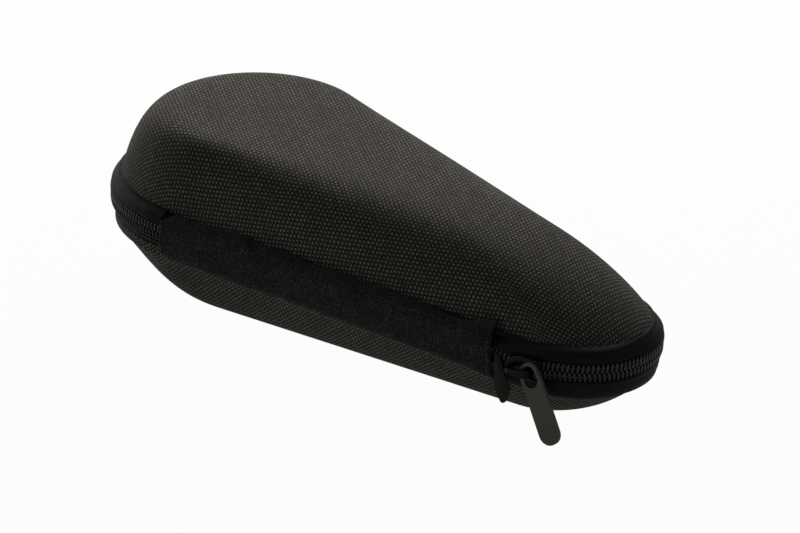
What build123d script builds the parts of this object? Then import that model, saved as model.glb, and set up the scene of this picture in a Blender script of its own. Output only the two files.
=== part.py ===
from build123d import *
import os
from math import acos, atan, cos, degrees, pi, radians, sin

# Hard travel case for an electric shaver: two moulded shells joined by a zip and a cloth hinge.
#
# The case is drawn in its own case frame: the zip lies in the plane z = 0, the big round end
# (the tail) points to -X, the small round end (the nose) to +X, and the hinge is on the -Y side.
# An inset is a distance inwards from the widest outline, which is the outside of the zip's coil.
# At the end every piece is tipped by the same small angle, so the case rests on its flat bottom.

# ---- driving dimensions, in mm unless named otherwise
CASE_LENGTH = 200.0
TAIL_RADIUS = 43.0
NOSE_RADIUS = 24.5
BOTTOM_DEPTH = 23.1          # zip plane down to the bottom, at x = 0
BOTTOM_RISE = 0.049          # the bottom rises this much per mm towards the nose
CROWN_HEIGHT = 26.9          # zip plane up to the crown, at x = 0
CROWN_FALL = -0.026          # the crown falls towards the nose
SKIN = 0.7                   # woven outer cloth
CORE = 3.0                   # pressed EVA foam
LINING = 0.6                 # brushed inner cloth
RIM_GAP = 5.3                # zip plane to the cut edge of each foam shell
COIL_HALF_WIDTH = 2.65
COIL_THICKNESS = 2.0
COIL_GAP = 0.15              # zip plane to each half's tooth heads
TAPE = 0.6
TAPE_EDGE = 1.15             # zip plane to the tape's edge
CORD_RADIUS = 0.45
BINDING = 0.6
THREAD_RADIUS = 0.25
SEAM_INSET = 5.0
STRIP_END = 11.4             # the hinge strip stops this far before the nose's round begins
STRIP_OVERLAP = 5.0          # how far the zip runs on under the strip
WEBBING_HALF_WIDTH = 4.4
WEBBING_TRIM = 8.0           # webbing, inner cloth and its thread end this far inside the strip
HINGE_LINING_TRIM = 4.0
HINGE_THREAD_TRIM = 5.0
HINGE_THREAD_SET_BACK = 0.7  # from the inner cloth's edge
SLIDER_CENTRE = 1.4          # the parked slider's middle, before the nose's round begins
SLIDER_LENGTH = 11.2
SLIDER_PLATE = 1.0
SLIDER_GAP = 0.4             # between the slider's plates and the zip
SLIDER_HALF_WIDTH = 3.5      # where it is widest
FLANGE_CENTRE = 3.025        # zip plane to the middle of each side flange
FLANGE_WIDTH = 0.35
FLANGE_DEPTH = 0.65          # from the outer plate towards the tape
WEDGE_HALF_WIDTH = 0.9
WEDGE_LENGTH = 3.5
WEDGE_NOTCH = (5.0, 2.4, 4.0)  # what the wedge pushes out of the two coils
BRIDGE_WIDTH = 1.8
BRIDGE_OPENING = 2.6
BRIDGE_CROWN = 1.2           # thickness over the opening
BRIDGE_BACK = -4.2           # ends of the bridge along the slider
BRIDGE_FRONT = 3.9
BRIDGE_LEG = 1.2
PULLER_LENGTH = 23.75
PULLER_WIDTH = 6.5
PULLER_THICKNESS = 1.2
PULLER_HEAD = 3.0            # radius of its upper end
PULLER_EYE_TOP = 2.0         # radii of the eye, above and below
PULLER_EYE_LOW = 2.15
PULLER_EYE_DROP = 2.0        # between the centres of the two
PULLER_SWING = 31.5          # degrees from hanging straight to how it lies, towards the nose
PULLER_LEAN = 8.8            # degrees that its flat leans out from the wall
PULLER_SAG = 0.65            # its eye hangs this far down on the leg
TAB_THICKNESS = 0.9
TAB_LEAN = 12.0              # degrees that the folded tape end leans out from the wall

# ---- the teardrop outline
TAIL_X = -CASE_LENGTH / 2 + TAIL_RADIUS
NOSE_X = CASE_LENGTH / 2 - NOSE_RADIUS
TANGENT = acos((TAIL_RADIUS - NOSE_RADIUS) / (NOSE_X - TAIL_X))
SIDE_LENGTH = (NOSE_X - TAIL_X) * sin(TANGENT)

# ---- each shell: its rim inset, where its dome starts, and the flat of its crown
UPPER = dict(sign=1, inset=3.7, start=6.4, back=23.6, front=94.2, tail=24.0, nose=3.7,
             level=CROWN_HEIGHT, slope=CROWN_FALL, inset_power=0.60, height_power=1.76)
LOWER = dict(sign=-1, inset=1.5, start=8.1, back=32.3, front=19.9, tail=26.5, nose=14.0,
             level=-BOTTOM_DEPTH, slope=BOTTOM_RISE, inset_power=0.88, height_power=2.76)
DOME_STEPS = (0, 15, 30, 45, 60, 75, 84, 90)

SEAT = Pos(0, 0, BOTTOM_DEPTH * cos(atan(BOTTOM_RISE))) * Rot(0, degrees(atan(BOTTOM_RISE)), 0)


def outline_face(back, front, tail_radius, nose_radius, level, slope=0.0):
    """A flat face inside two tangent circles and the straight sides between them."""
    tail_x = back + tail_radius
    nose_x = front - nose_radius
    turn = acos((tail_radius - nose_radius) / (nose_x - tail_x))

    def spot(centre, radius, angle):
        x = centre + radius * cos(angle)
        return Vector(x, radius * sin(angle), level + slope * x)

    tail_a = spot(tail_x, tail_radius, turn)
    tail_b = spot(tail_x, tail_radius, -turn)
    nose_a = spot(nose_x, nose_radius, turn)
    nose_b = spot(nose_x, nose_radius, -turn)
    edges = [
        Edge.make_three_point_arc(tail_a, spot(tail_x, tail_radius, pi), tail_b),
        Edge.make_line(tail_b, nose_b),
        Edge.make_three_point_arc(nose_b, spot(nose_x, nose_radius, 0), nose_a),
        Edge.make_line(nose_a, tail_a),
    ]
    return Face(Wire(edges))


def dome_face(shell, depth, step):
    """One section of a shell's dome, on the surface that lies depth under its outside."""
    angle = radians(step)
    inwards = cos(angle) ** shell["inset_power"] if step < 90 else 0.0
    upwards = sin(angle) ** shell["height_power"]
    rim = shell["inset"]
    aside = depth * inwards
    back = -CASE_LENGTH / 2 + rim + shell["back"] * (1 - inwards) + aside
    front = CASE_LENGTH / 2 - rim - shell["front"] * (1 - inwards) - aside
    tail = shell["tail"] + (TAIL_RADIUS - rim - shell["tail"]) * inwards - aside
    nose = shell["nose"] + (NOSE_RADIUS - rim - shell["nose"]) * inwards - aside
    start = shell["sign"] * shell["start"]
    level = start + upwards * (shell["level"] - start - shell["sign"] * depth)
    return outline_face(back, front, tail, nose, level, upwards * shell["slope"])


def plug(shell, depth, rim_z):
    """The solid inside one surface of a shell, from its rim to its crown."""
    dome = loft([dome_face(shell, depth, step) for step in DOME_STEPS])
    inset = shell["inset"] + depth
    rim = outline_face(-CASE_LENGTH / 2 + inset, CASE_LENGTH / 2 - inset,
                       TAIL_RADIUS - inset, NOSE_RADIUS - inset, shell["sign"] * rim_z)
    return dome + extrude(rim, shell["start"] - rim_z, dir=(0, 0, shell["sign"]))


def layer(shell, outside, inside):
    """One skin of a shell, between two depths under its outside."""
    return plug(shell, outside, RIM_GAP) - plug(shell, inside, RIM_GAP - 1)


def radial(angle):
    return Vector(cos(angle), sin(angle), 0)


def profile(points, sign=1):
    """A section across the rim from (inset, height) points; a middle triple makes an arc."""
    edges = []
    place = [Vector(-inset, sign * height, 0) for inset, height, *_ in points]
    arc_mid = [len(point) == 3 for point in points]
    count = len(points)
    index = 0
    while index < count:
        after = (index + 1) % count
        if arc_mid[after]:
            end = (index + 2) % count
            edges.append(Edge.make_three_point_arc(place[index], place[after], place[end]))
            index += 2
        else:
            edges.append(Edge.make_line(place[index], place[after]))
            index += 1
    return Face(Wire(edges))


def section_plane(point, angle):
    outward = radial(angle)
    return Plane(origin=point, x_dir=outward, z_dir=outward.cross(Vector(0, 0, 1)))


def side_point(run):
    """A point of the hinge side's outline, run before the nose's round."""
    return Vector(NOSE_X, 0, 0) + radial(-TANGENT) * NOSE_RADIUS + radial(pi / 2 - TANGENT) * run


def side_run(section, near, begin, end):
    """The section drawn along a straight side; distances are from the nose's round."""
    angle = -TANGENT if near else TANGENT
    along = radial(angle + (pi / 2 if near else -pi / 2))
    origin = Vector(NOSE_X, 0, 0) + radial(angle) * NOSE_RADIUS + along * begin
    placed = section_plane(origin, angle) * section
    return extrude(placed, abs(end - begin), dir=along)


def round_run(section, centre_x, radius, begin, end):
    """The section turned round one end of the case, between two angles."""
    origin = Vector(centre_x, 0, 0) + radial(begin) * radius
    placed = section_plane(origin, begin) * section
    axis = Axis((centre_x, 0, 0), (0, 0, 1))
    return revolve(placed, axis, degrees(end - begin))


def nose_run(section):
    return round_run(section, NOSE_X, NOSE_RADIUS, -TANGENT, TANGENT)


def tail_run(section):
    return round_run(section, TAIL_X, TAIL_RADIUS, TANGENT, 2 * pi - TANGENT)


def full_ring(section):
    """The section all the way round the outline."""
    near = side_run(section, True, -SIDE_LENGTH, 0)
    far = side_run(section, False, -SIDE_LENGTH, 0)
    return near + nose_run(section) + far + tail_run(section)


def zip_run(section):
    """The section along the zip: from under one end of the hinge strip round to the other."""
    front = side_run(section, True, -STRIP_END - STRIP_OVERLAP, 0)
    far = side_run(section, False, -SIDE_LENGTH, 0)
    back = side_run(section, True, -SIDE_LENGTH, -SIDE_LENGTH + STRIP_OVERLAP)
    return front + nose_run(section) + far + tail_run(section) + back


def strip_run(section, trim=0.0):
    return side_run(section, True, -SIDE_LENGTH + trim, -STRIP_END - trim)


def slider_plane():
    """On the parked slider: x along its travel, y up, z out from the wall; origin on the outline."""
    angle = -TANGENT
    along = radial(angle + pi / 2)
    origin = Vector(NOSE_X, 0, 0) + radial(angle) * NOSE_RADIUS - along * SLIDER_CENTRE
    return Plane(origin=origin, x_dir=along, z_dir=radial(angle))


# ---- shells
def shell_layers(shell):
    core_top = SKIN
    lining_top = SKIN + CORE
    inside = lining_top + LINING
    return layer(shell, 0, core_top), layer(shell, core_top, lining_top), layer(shell, lining_top, inside)


# ---- rim: tape with its rolled edge, coil, cord, binding, thread
def tape_section(shell, roll):
    """The tape beside the coil and its roll over the shell's edge, from (inset, height) points."""
    tape_in = COIL_THICKNESS + TAPE
    return profile([
        (COIL_THICKNESS, TAPE_EDGE), *roll,
        (shell["inset"], RIM_GAP), (tape_in, RIM_GAP), (tape_in, TAPE_EDGE),
    ], sign=shell["sign"])


UPPER_ROLL = [(COIL_THICKNESS, 2.75), (0.9, 2.8), (0.45, 3.4), (1.0, 5.75, "arc"), (3.7, 6.75)]
UPPER_ROLL_AT_HINGE = [(COIL_THICKNESS, 2.75), (1.1, 2.8), (0.8, 3.3), (1.5, 4.85, "arc"), (3.7, 5.65)]
LOWER_ROLL = [(COIL_THICKNESS, 2.9), (0.7, 3.9), (0.45, 6.2, "arc"), (1.5, 8.3)]
LOWER_ROLL_AT_HINGE = [(COIL_THICKNESS, 2.9), (0.7, 3.9), (0.5, 5.6, "arc"), (1.5, 7.2)]


def zipper_tape(shell, roll, roll_at_hinge):
    """The tape all the way round; its roll is pressed flat under the hinge strip."""
    full, flat = tape_section(shell, roll), tape_section(shell, roll_at_hinge)
    hinge = side_run(flat, True, -SIDE_LENGTH, -STRIP_END)
    rise = loft([section_plane(side_point(-STRIP_END), -TANGENT) * flat,
                 section_plane(side_point(0), -TANGENT) * full], ruled=True)
    far = side_run(full, False, -SIDE_LENGTH, 0)
    return hinge + rise + nose_run(full) + far + tail_run(full)


def coil_section(sign):
    """The flattened spiral's envelope, with the bore that holds its cord."""
    middle = Vector(-COIL_THICKNESS / 2, sign * (COIL_GAP + COIL_HALF_WIDTH) / 2, 0)
    outer = Pos(*middle) * RectangleRounded(COIL_THICKNESS, COIL_HALF_WIDTH - COIL_GAP, 0.6)
    return outer - Pos(*middle) * Circle(CORD_RADIUS)


def cord_section(sign):
    return Pos(-COIL_THICKNESS / 2, sign * (COIL_GAP + COIL_HALF_WIDTH) / 2) * Circle(CORD_RADIUS)


def binding_section(shell):
    """Folded ribbon over the cut edge of a shell: under the rim and up the inside."""
    tape_in = COIL_THICKNESS + TAPE
    inside = shell["inset"] + SKIN + CORE + LINING
    top = shell["start"] - 0.1
    return profile([
        (tape_in, RIM_GAP - BINDING), (tape_in, RIM_GAP), (inside, RIM_GAP), (inside, top),
        (inside + BINDING, top), (inside + BINDING, RIM_GAP - BINDING),
    ], sign=shell["sign"])


def seam_thread_section(sign):
    """The lockstitch that sews tape, shell and binding together, on the binding's face."""
    return Pos(-SEAM_INSET, sign * (RIM_GAP - BINDING - THREAD_RADIUS)) * Circle(THREAD_RADIUS)


def slider_wedge_space():
    """Where the slider's wedge holds the two halves of the coil apart."""
    plane = slider_plane()
    return plane * Pos(-SLIDER_LENGTH / 2 + 2.0, 0, -COIL_THICKNESS / 2) * Box(*WEDGE_NOTCH)


def coil(sign):
    return zip_run(coil_section(sign)) - slider_wedge_space()


# ---- hinge
def strip_section():
    """Felt strip over the whole rim on the hinge side, its edges rolled in."""
    inner = [(3.65, 5.9), (1.5, 5.45), (0.7, 4.7), (0.2, 3.6), (0.0, 2.9), (0.0, -2.9), (0.1, -4.2),
             (0.1, -5.9), (1.2, -7.35)]
    outer = [(0.7, -7.85), (-0.5, -6.2), (-0.75, -4.0), (-0.9, 0.0), (-0.75, 3.0), (-0.35, 4.7),
             (0.6, 5.8), (1.9, 6.25), (3.65, 6.45)]
    return profile(inner + outer)


def webbing_section():
    tape_in = COIL_THICKNESS + TAPE
    half = WEBBING_HALF_WIDTH
    return profile([(tape_in, half), (tape_in + TAPE, half), (tape_in + TAPE, -half), (tape_in, -half)])


def hinge_lining_edges():
    """Where the inner hinge cloth is sewn down: (inset, height) on the lid and on the base."""
    bound = SKIN + CORE + LINING + BINDING
    return (UPPER["inset"] + bound, UPPER["start"] - 0.2), (LOWER["inset"] + bound, -LOWER["start"] + 0.2)


def hinge_lining_section():
    (upper_in, upper_z), (lower_in, lower_z) = hinge_lining_edges()
    bend = RIM_GAP - BINDING
    return profile([
        (upper_in, upper_z), (upper_in + LINING, upper_z), (upper_in + LINING, bend),
        (lower_in + LINING, -bend), (lower_in + LINING, lower_z), (lower_in, lower_z),
        (lower_in, -bend), (upper_in, bend),
    ])


def hinge_thread_section(upper):
    inset, height = hinge_lining_edges()[0 if upper else 1]
    inwards = height + (-HINGE_THREAD_SET_BACK if upper else HINGE_THREAD_SET_BACK)
    return Pos(-inset - LINING - THREAD_RADIUS, inwards) * Circle(THREAD_RADIUS)


def tape_end_tab():
    """The lower tape's end, folded out and down beside the hinge strip."""
    plane = slider_plane()
    left = SLIDER_CENTRE - STRIP_END
    outline = Polygon((left + 0.2, 0.4), (left + 1.4, 0.4), (left + 6.6, -8.6), (left + 5.9, -12.3),
                      (left + 4.2, -12.6), (left + 2.8, -11.4), align=None)
    blade = extrude(fillet(outline.vertices(), 0.4), TAB_THICKNESS, dir=(0, 0, 1))
    return plane * Pos(0, 0, 0.15) * Rot(-TAB_LEAN, 0, 0) * blade


# ---- slider and puller
def slider_plate():
    """A plate's outline: pointed where the zip opens, waisted, and square where it closes."""
    half, wide = SLIDER_LENGTH / 2, SLIDER_HALF_WIDTH
    upper = [(-half, 0.7), (-half + 1.3, wide - 1.5), (-half + 3.0, wide - 0.5), (-0.3, wide),
             (1.6, wide - 0.25), (3.2, wide - 0.4), (half, wide - 0.2)]
    lower = [(x, -y) for x, y in reversed(upper)]
    shape = Polygon(*upper, *lower, align=None)
    return fillet(shape.vertices(), 0.4)


def slider_body():
    """Outer and inner plates, the wedge that joins them, the side flanges and the puller's bridge."""
    half = SLIDER_LENGTH / 2
    face = SLIDER_GAP
    back = -(COIL_THICKNESS + TAPE + SLIDER_GAP)
    outer = Pos(0, 0, face) * extrude(slider_plate(), SLIDER_PLATE, dir=(0, 0, 1))
    outer = fillet(outer.faces().sort_by(Axis.Z)[-1].edges(), 0.35)
    inner = Pos(0, 0, back - SLIDER_PLATE) * extrude(slider_plate(), SLIDER_PLATE, dir=(0, 0, 1))
    tip = -half + 0.1
    wedge_shape = Polygon((tip, 0), (tip + 1.0, WEDGE_HALF_WIDTH), (tip + WEDGE_LENGTH, 0),
                          (tip + 1.0, -WEDGE_HALF_WIDTH), align=None)
    body = outer + inner + Pos(0, 0, back) * extrude(wedge_shape, face - back, dir=(0, 0, 1))
    flange = Box(half - 1.4, FLANGE_WIDTH, FLANGE_DEPTH)
    for side in (1, -1):
        body += Pos(half / 2 + 0.6, side * FLANGE_CENTRE, face - FLANGE_DEPTH / 2) * flange
    return slider_plane() * (body + Pos(0, 0, face + SLIDER_PLATE) * bridge_solid())


def bridge_solid():
    """An arched loop on the outer plate, open from side to side for the puller's eye."""
    back, front = BRIDGE_BACK, BRIDGE_FRONT
    crown = BRIDGE_OPENING + BRIDGE_CROWN
    side = Polyline((back, 0), (back + 0.4, crown - 0.9), (back + 1.5, crown), (front - 1.5, crown),
                    (front - 0.4, crown - 0.9), (front, 0), close=True)
    hole = Polyline((back + BRIDGE_LEG, -1), (back + BRIDGE_LEG, BRIDGE_OPENING),
                    (front - BRIDGE_LEG, BRIDGE_OPENING), (front - BRIDGE_LEG, -1), close=True)
    arch = make_face(side) - make_face(hole)
    solid = extrude(Plane.XZ * arch, BRIDGE_WIDTH / 2, both=True)
    return fillet(solid.edges().filter_by(GeomType.LINE).filter_by(Axis.X).sort_by(Axis.Z)[-2:], 0.45)


def puller():
    """A flat tab with a round end and a long eye, which hangs on the bridge's leg nearest the nose."""
    half = PULLER_WIDTH / 2
    end = PULLER_LENGTH - PULLER_HEAD - half
    shoulder = Pos(0, -PULLER_EYE_DROP) * Circle(half)
    head = make_hull((Circle(PULLER_HEAD) + shoulder).edges())
    tab = make_hull((shoulder + Pos(0, -end) * Circle(half)).edges())
    eye = make_hull((Circle(PULLER_EYE_TOP) + Pos(0, -PULLER_EYE_DROP) * Circle(PULLER_EYE_LOW)).edges())
    blade = extrude(head + tab - eye, PULLER_THICKNESS / 2, both=True)
    return fillet(blade.faces().filter_by(Axis.Z).edges(), 0.25)


def puller_pivot_plane():
    """At the bridge's front leg: x along the travel, y up the tab, z along the leg."""
    plane = slider_plane()
    leg = BRIDGE_FRONT - BRIDGE_LEG / 2
    height = SLIDER_GAP + SLIDER_PLATE + BRIDGE_OPENING / 2
    origin = plane.from_local_coords(Vector(leg, 0, height))
    return Plane(origin=origin, x_dir=plane.x_dir, z_dir=plane.z_dir)


def placed_puller():
    plane = puller_pivot_plane()
    hang = Rot(-PULLER_LEAN, 0, 0) * Rot(0, 0, PULLER_SWING)
    return plane * hang * Pos(0, -PULLER_SAG, 0) * puller()


def build_case():
    upper_skin, upper_core, upper_lining = shell_layers(UPPER)
    lower_skin, lower_core, lower_lining = shell_layers(LOWER)
    return {
        "lower_canvas_cover": lower_skin,
        "lower_eva_shell": lower_core,
        "lower_lining": lower_lining,
        "lower_zipper_tape": zipper_tape(LOWER, LOWER_ROLL, LOWER_ROLL_AT_HINGE),
        "lower_zipper_coil": coil(-1),
        "lower_coil_cord": zip_run(cord_section(-1)),
        "lower_rim_binding": full_ring(binding_section(LOWER)),
        "lower_seam_thread": full_ring(seam_thread_section(-1)),
        "upper_canvas_cover": upper_skin,
        "upper_eva_shell": upper_core,
        "upper_lining": upper_lining,
        "upper_zipper_tape": zipper_tape(UPPER, UPPER_ROLL, UPPER_ROLL_AT_HINGE),
        "upper_zipper_coil": coil(1),
        "upper_coil_cord": zip_run(cord_section(1)),
        "upper_rim_binding": full_ring(binding_section(UPPER)),
        "upper_seam_thread": full_ring(seam_thread_section(1)),
        "hinge_strip": strip_run(strip_section()),
        "hinge_webbing": strip_run(webbing_section(), WEBBING_TRIM),
        "hinge_lining": strip_run(hinge_lining_section(), HINGE_LINING_TRIM),
        "hinge_upper_thread": strip_run(hinge_thread_section(True), HINGE_THREAD_TRIM),
        "hinge_lower_thread": strip_run(hinge_thread_section(False), HINGE_THREAD_TRIM),
        "tape_end_tab": tape_end_tab(),
        "slider_body": slider_body(),
        "puller_tab": placed_puller(),
    }


def main():
    os.makedirs("parts", exist_ok=True)
    for name, solid in build_case().items():
        export_step(SEAT * solid, f"parts/{name}.step")


main()
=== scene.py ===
import logging
import math
from dataclasses import dataclass
from enum import Enum
from typing import Callable, Sequence

import bpy
import numpy as np
from mathutils import Matrix, Vector


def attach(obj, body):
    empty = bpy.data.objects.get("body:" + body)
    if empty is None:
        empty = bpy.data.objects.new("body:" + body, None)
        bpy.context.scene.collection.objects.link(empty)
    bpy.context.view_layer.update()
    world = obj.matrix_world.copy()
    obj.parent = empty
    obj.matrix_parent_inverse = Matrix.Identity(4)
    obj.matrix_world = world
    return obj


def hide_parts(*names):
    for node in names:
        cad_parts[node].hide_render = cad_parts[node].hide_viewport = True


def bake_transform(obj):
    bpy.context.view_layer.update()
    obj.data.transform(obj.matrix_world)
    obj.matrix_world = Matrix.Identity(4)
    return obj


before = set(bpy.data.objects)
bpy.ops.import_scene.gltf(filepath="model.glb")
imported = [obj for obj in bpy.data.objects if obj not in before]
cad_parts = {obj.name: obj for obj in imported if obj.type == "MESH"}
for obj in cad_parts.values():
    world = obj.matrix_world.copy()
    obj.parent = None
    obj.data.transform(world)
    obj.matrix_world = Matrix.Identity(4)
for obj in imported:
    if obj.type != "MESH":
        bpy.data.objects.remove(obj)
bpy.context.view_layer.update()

# Hard travel case for an electric shaver, dressed: woven cloth over moulded foam shells, satin
# zip tape, a spiral coil zip with its slider and puller, and a felted strip over the cloth hinge.
#
# Everything is worked out in the case frame, in mm: the zip lies in the plane z = 0, the tail
# points to -X, the nose to +X and the hinge is on the -Y side. "Inset" is a distance inwards from
# the outside of the zip. case_to_part() then tips the whole by the angle at which it stands.

Array = np.ndarray
Colour = tuple[float, float, float]
LOG = logging.getLogger("shaver_case")

Piece = bpy.types.Object
Finish = bpy.types.Material
Corners = Sequence[tuple[float, float]]

MM = 0.001                   # one mm, in metres
HALF_LENGTH = 100.0          # of the case, at the rim
BOTTOM_DEPTH = 23.1          # from the zip's plane to the flat bottom, at x = 0
BOTTOM_RISE = 0.049          # the bottom's slope against the zip's plane
RIM_GAP = 5.3                # from the zip's plane to each shell's cut edge
SKIN, CORE, CLOTH = 0.7, 3.0, 0.6  # outer cloth, foam, lining and ribbon
ZIP_THICKNESS = 2.0          # of the closed spirals
TAPE = 0.6                   # the zip tape's thickness
STRIP_END = 11.4             # from the nose's round back to the hinge strip's end
STRIP_OVERLAP = 5.0          # how far the spirals go in under the strip
SAG = 2.3                    # the rim hangs this low beside the strip's nose end
TINY = 1e-9                  # keeps a division away from 0
WELD_GAP = 1e-7              # vertices nearer than this, in metres, are one


class Side(Enum):
    """Which half of the case a piece belongs to; the value is its direction from the zip."""

    LID = 1
    BASE = -1

    @property
    def body(self) -> str:
        """The CAD body that this half moves with."""
        return "lid" if self is Side.LID else "base"

    @property
    def shell(self) -> str:
        """The word that this half's CAD nodes start with."""
        return "upper" if self is Side.LID else "lower"


# ---------------------------------------------------------------- sections, as inset and height
# A point that is given twice is a sharp corner.
ZIP_FACE, TAPE_BACK = (2.0, 1.15), 2.6
TAPE_ROLLS = {
    Side.LID: ((2.0, 2.75), (2.0, 2.75), (0.75, 2.78), (0.38, 3.25), (0.3, 4.2), (0.5, 5.0),
               (1.15, 5.95), (2.3, 6.55), (3.7, 6.78), (3.7, 6.78)),
    Side.BASE: ((2.0, 2.8), (2.0, 2.8), (1.0, 2.95), (0.6, 3.55), (0.46, 4.8), (0.55, 6.2),
                (0.95, 7.5), (1.5, 8.3), (1.5, 8.3)),
}
STRIP_SECTION = (
    (3.6, 5.95), (2.6, 5.8), (1.5, 5.5), (0.75, 4.8), (0.3, 3.8), (0.06, 2.9), (0.0, 1.6),
    (0.0, 0.0), (0.0, -1.6), (0.02, -2.9), (0.1, -4.2), (0.12, -5.6), (0.5, -6.6),
    (1.15, -7.3), (1.1, -7.7), (0.75, -7.86), (0.3, -7.7), (-0.15, -7.0),
    (-0.5, -6.1), (-0.72, -4.4), (-0.86, -2.2), (-0.9, 0.0), (-0.87, 1.6),
    (-0.76, 3.0), (-0.5, 4.2), (-0.05, 5.15), (0.6, 5.8), (1.6, 6.2), (2.7, 6.42),
    (3.5, 6.45), (3.74, 6.2),
)
# The strip's two edges, as distance along the rim and height.
STRIP_TOP = (
    (-131.2, 5.7), (-128.0, 6.0), (-112.0, 6.2), (-106.0, 6.7), (-101.0, 7.2), (-96.0, 6.2),
    (-84.0, 6.7), (-78.0, 5.9), (-67.0, 6.6), (-57.0, 6.1), (-42.0, 6.0), (-35.0, 5.7),
    (-28.0, 5.4), (-23.5, 5.6), (-20.0, 6.2), (-16.0, 7.3), (-13.0, 8.0), (-11.4, 8.5),
)
STRIP_LOW = (
    (-131.2, -6.9), (-126.0, -7.3), (-110.0, -7.6), (-100.0, -7.7), (-87.0, -7.0),
    (-75.0, -7.3), (-50.0, -7.45), (-22.0, -7.6), (-16.0, -8.2), (-11.4, -8.3),
)


# ---------------------------------------------------------------- places
TIP = math.atan(BOTTOM_RISE)
CASE_TO_PART = (
    Matrix.Scale(MM, 4)
    @ Matrix.Translation((0, 0, BOTTOM_DEPTH * math.cos(TIP)))
    @ Matrix.Rotation(TIP, 4, "Y")
)


def case_to_part(points: Array) -> Array:
    """Move points from the case frame, in mm, to the part's frame, in metres.

    Args:
        points: Any array whose last axis holds x, y and z.

    Returns:
        The same array, moved.
    """
    turn = np.array(CASE_TO_PART)
    return points @ turn[:3, :3].T + turn[:3, 3]


@dataclass(frozen=True)
class Outline:
    """Two tangent circles and the straight sides between them, seen from above."""

    tail_x: float
    tail_radius: float
    nose_x: float
    nose_radius: float

    @property
    def turn(self) -> float:
        """Half the angle of the nose's arc."""
        return math.acos((self.tail_radius - self.nose_radius) / (self.nose_x - self.tail_x))

    @property
    def side(self) -> float:
        """Length of one straight side."""
        return (self.nose_x - self.tail_x) * math.sin(self.turn)

    def at(self, stations: Array) -> tuple[Array, Array]:
        """Points on the outline and the directions straight outwards from it.

        Args:
            stations: 0 to 1 is the hinge side from tail to nose, 1 to 2 the nose, 2 to 3 the far
                side and 3 to 4 the tail.

        Returns:
            The points and the directions, each with x and y on the last axis.
        """
        leg, part = np.divmod(np.asarray(stations, float) % 4.0, 1.0)
        legs = [leg == 0, leg == 1, leg == 2]
        turn = self.turn
        angle = np.select(
            legs, [-turn + 0 * part, turn * (2 * part - 1), turn + 0 * part],
            turn + 2 * (math.pi - turn) * part,
        )
        to_nose = np.select(legs, [part, 1 + 0 * part, 1 - part], 0.0)[..., None]
        outward = np.stack((np.cos(angle), np.sin(angle)), -1)
        tail = outward * self.tail_radius + (self.tail_x, 0)
        nose = outward * self.nose_radius + (self.nose_x, 0)
        return tail + (nose - tail) * to_nose, outward


RIM = Outline(-57.0, 43.0, 75.5, 24.5)
NOSE_ARC = 2 * RIM.turn * RIM.nose_radius
TAIL_ARC = 2 * (math.pi - RIM.turn) * RIM.tail_radius
AROUND = 2 * RIM.side + NOSE_ARC + TAIL_ARC
ZIP_START, ZIP_STOP = -STRIP_END - STRIP_OVERLAP, NOSE_ARC + RIM.side + TAIL_ARC + STRIP_OVERLAP


def station_of(run: Array) -> Array:
    """Stations of distances along the rim, in mm.

    Args:
        run: Distance from where the nose's round begins on the hinge side, towards the nose.

    Returns:
        The stations, for Outline.at.
    """
    ends = np.cumsum([0, RIM.side, NOSE_ARC, RIM.side, TAIL_ARC])
    return np.interp((np.asarray(run, float) + RIM.side) % AROUND, ends, np.arange(5.0))


def on_rim(run: Array, inset: Array, height: Array) -> Array:
    """Points beside the rim, in the case frame.

    Args:
        run: Distances along the rim.
        inset: Distances inwards from the outside of the zip.
        height: Heights over the zip's plane.

    Returns:
        Points with x, y and z on the last axis.
    """
    run, inset, height = np.broadcast_arrays(run, inset, height)
    point, outward = RIM.at(station_of(run))
    flat = point - outward * inset[..., None]
    return np.concatenate((flat, height[..., None]), -1)


def settle(points: Array) -> Array:
    """Let the rim hang a little beside the nose end of the hinge strip, where the tape is cut.

    Args:
        points: Points in the case frame.

    Returns:
        The points, lowered where the rim hangs.
    """
    start, outward = RIM.at(station_of(np.array(0.0)))
    flat = points[..., :2] - start
    run, inset = flat @ (-outward[1], outward[0]), -(flat @ outward)
    rel = points[..., :2] - (RIM.nose_x, 0.0)
    turned = (np.arctan2(rel[..., 1], rel[..., 0]) + RIM.turn) * RIM.nose_radius
    in_round = run > 0
    inset = np.where(in_round, RIM.nose_radius - np.hypot(rel[..., 0], rel[..., 1]), inset)
    run = np.where(in_round, turned, run)
    height = points[..., 2]
    near = np.clip((9.0 - run) / 20.0, 0, 1) * smooth((run + 27.0) / 10.0) * (points[..., 0] > 30)
    above, below = smooth((12.5 - height) / 5.75), smooth((height + 6.2) / 3.5)
    drop = SAG * near * above * below * smooth((9.0 - inset) / 5.3)
    return points - drop[..., None] * np.array((0.0, 0.0, 1.0))


def smooth(value: Array) -> Array:
    """0 below 0 and 1 above 1, with a soft start and end."""
    held = np.clip(value, 0, 1)
    return held * held * (3 - 2 * held)


def unit(vectors: Array) -> Array:
    """The same directions, each of length 1."""
    return vectors / np.maximum(np.linalg.norm(vectors, axis=-1, keepdims=True), TINY)


def ripple(run: Array, seed: float) -> Array:
    """A smooth, uneven wave from about -1 to 1 along the rim, the same on every run."""
    wave = 0.0
    for length, size in ((31.0, 0.45), (11.7, 0.35), (6.1, 0.25)):
        cycles = round(AROUND / length)
        wave = wave + size * np.sin(2 * math.pi * cycles * run / AROUND + seed * length)
    return wave


def at_ends(run: Array) -> Array:
    """How far a place on the rim is into the rounds of nose or tail: 0 on a side, 1 in a round."""
    nose = np.clip(np.minimum(run + 4, NOSE_ARC + 4 - run) / 12, 0, 1)
    tail_start = NOSE_ARC + RIM.side
    tail = np.clip(np.minimum(run - tail_start + 6, AROUND - RIM.side - run + 6) / 18, 0, 1)
    return np.maximum(nose, tail)


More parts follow.
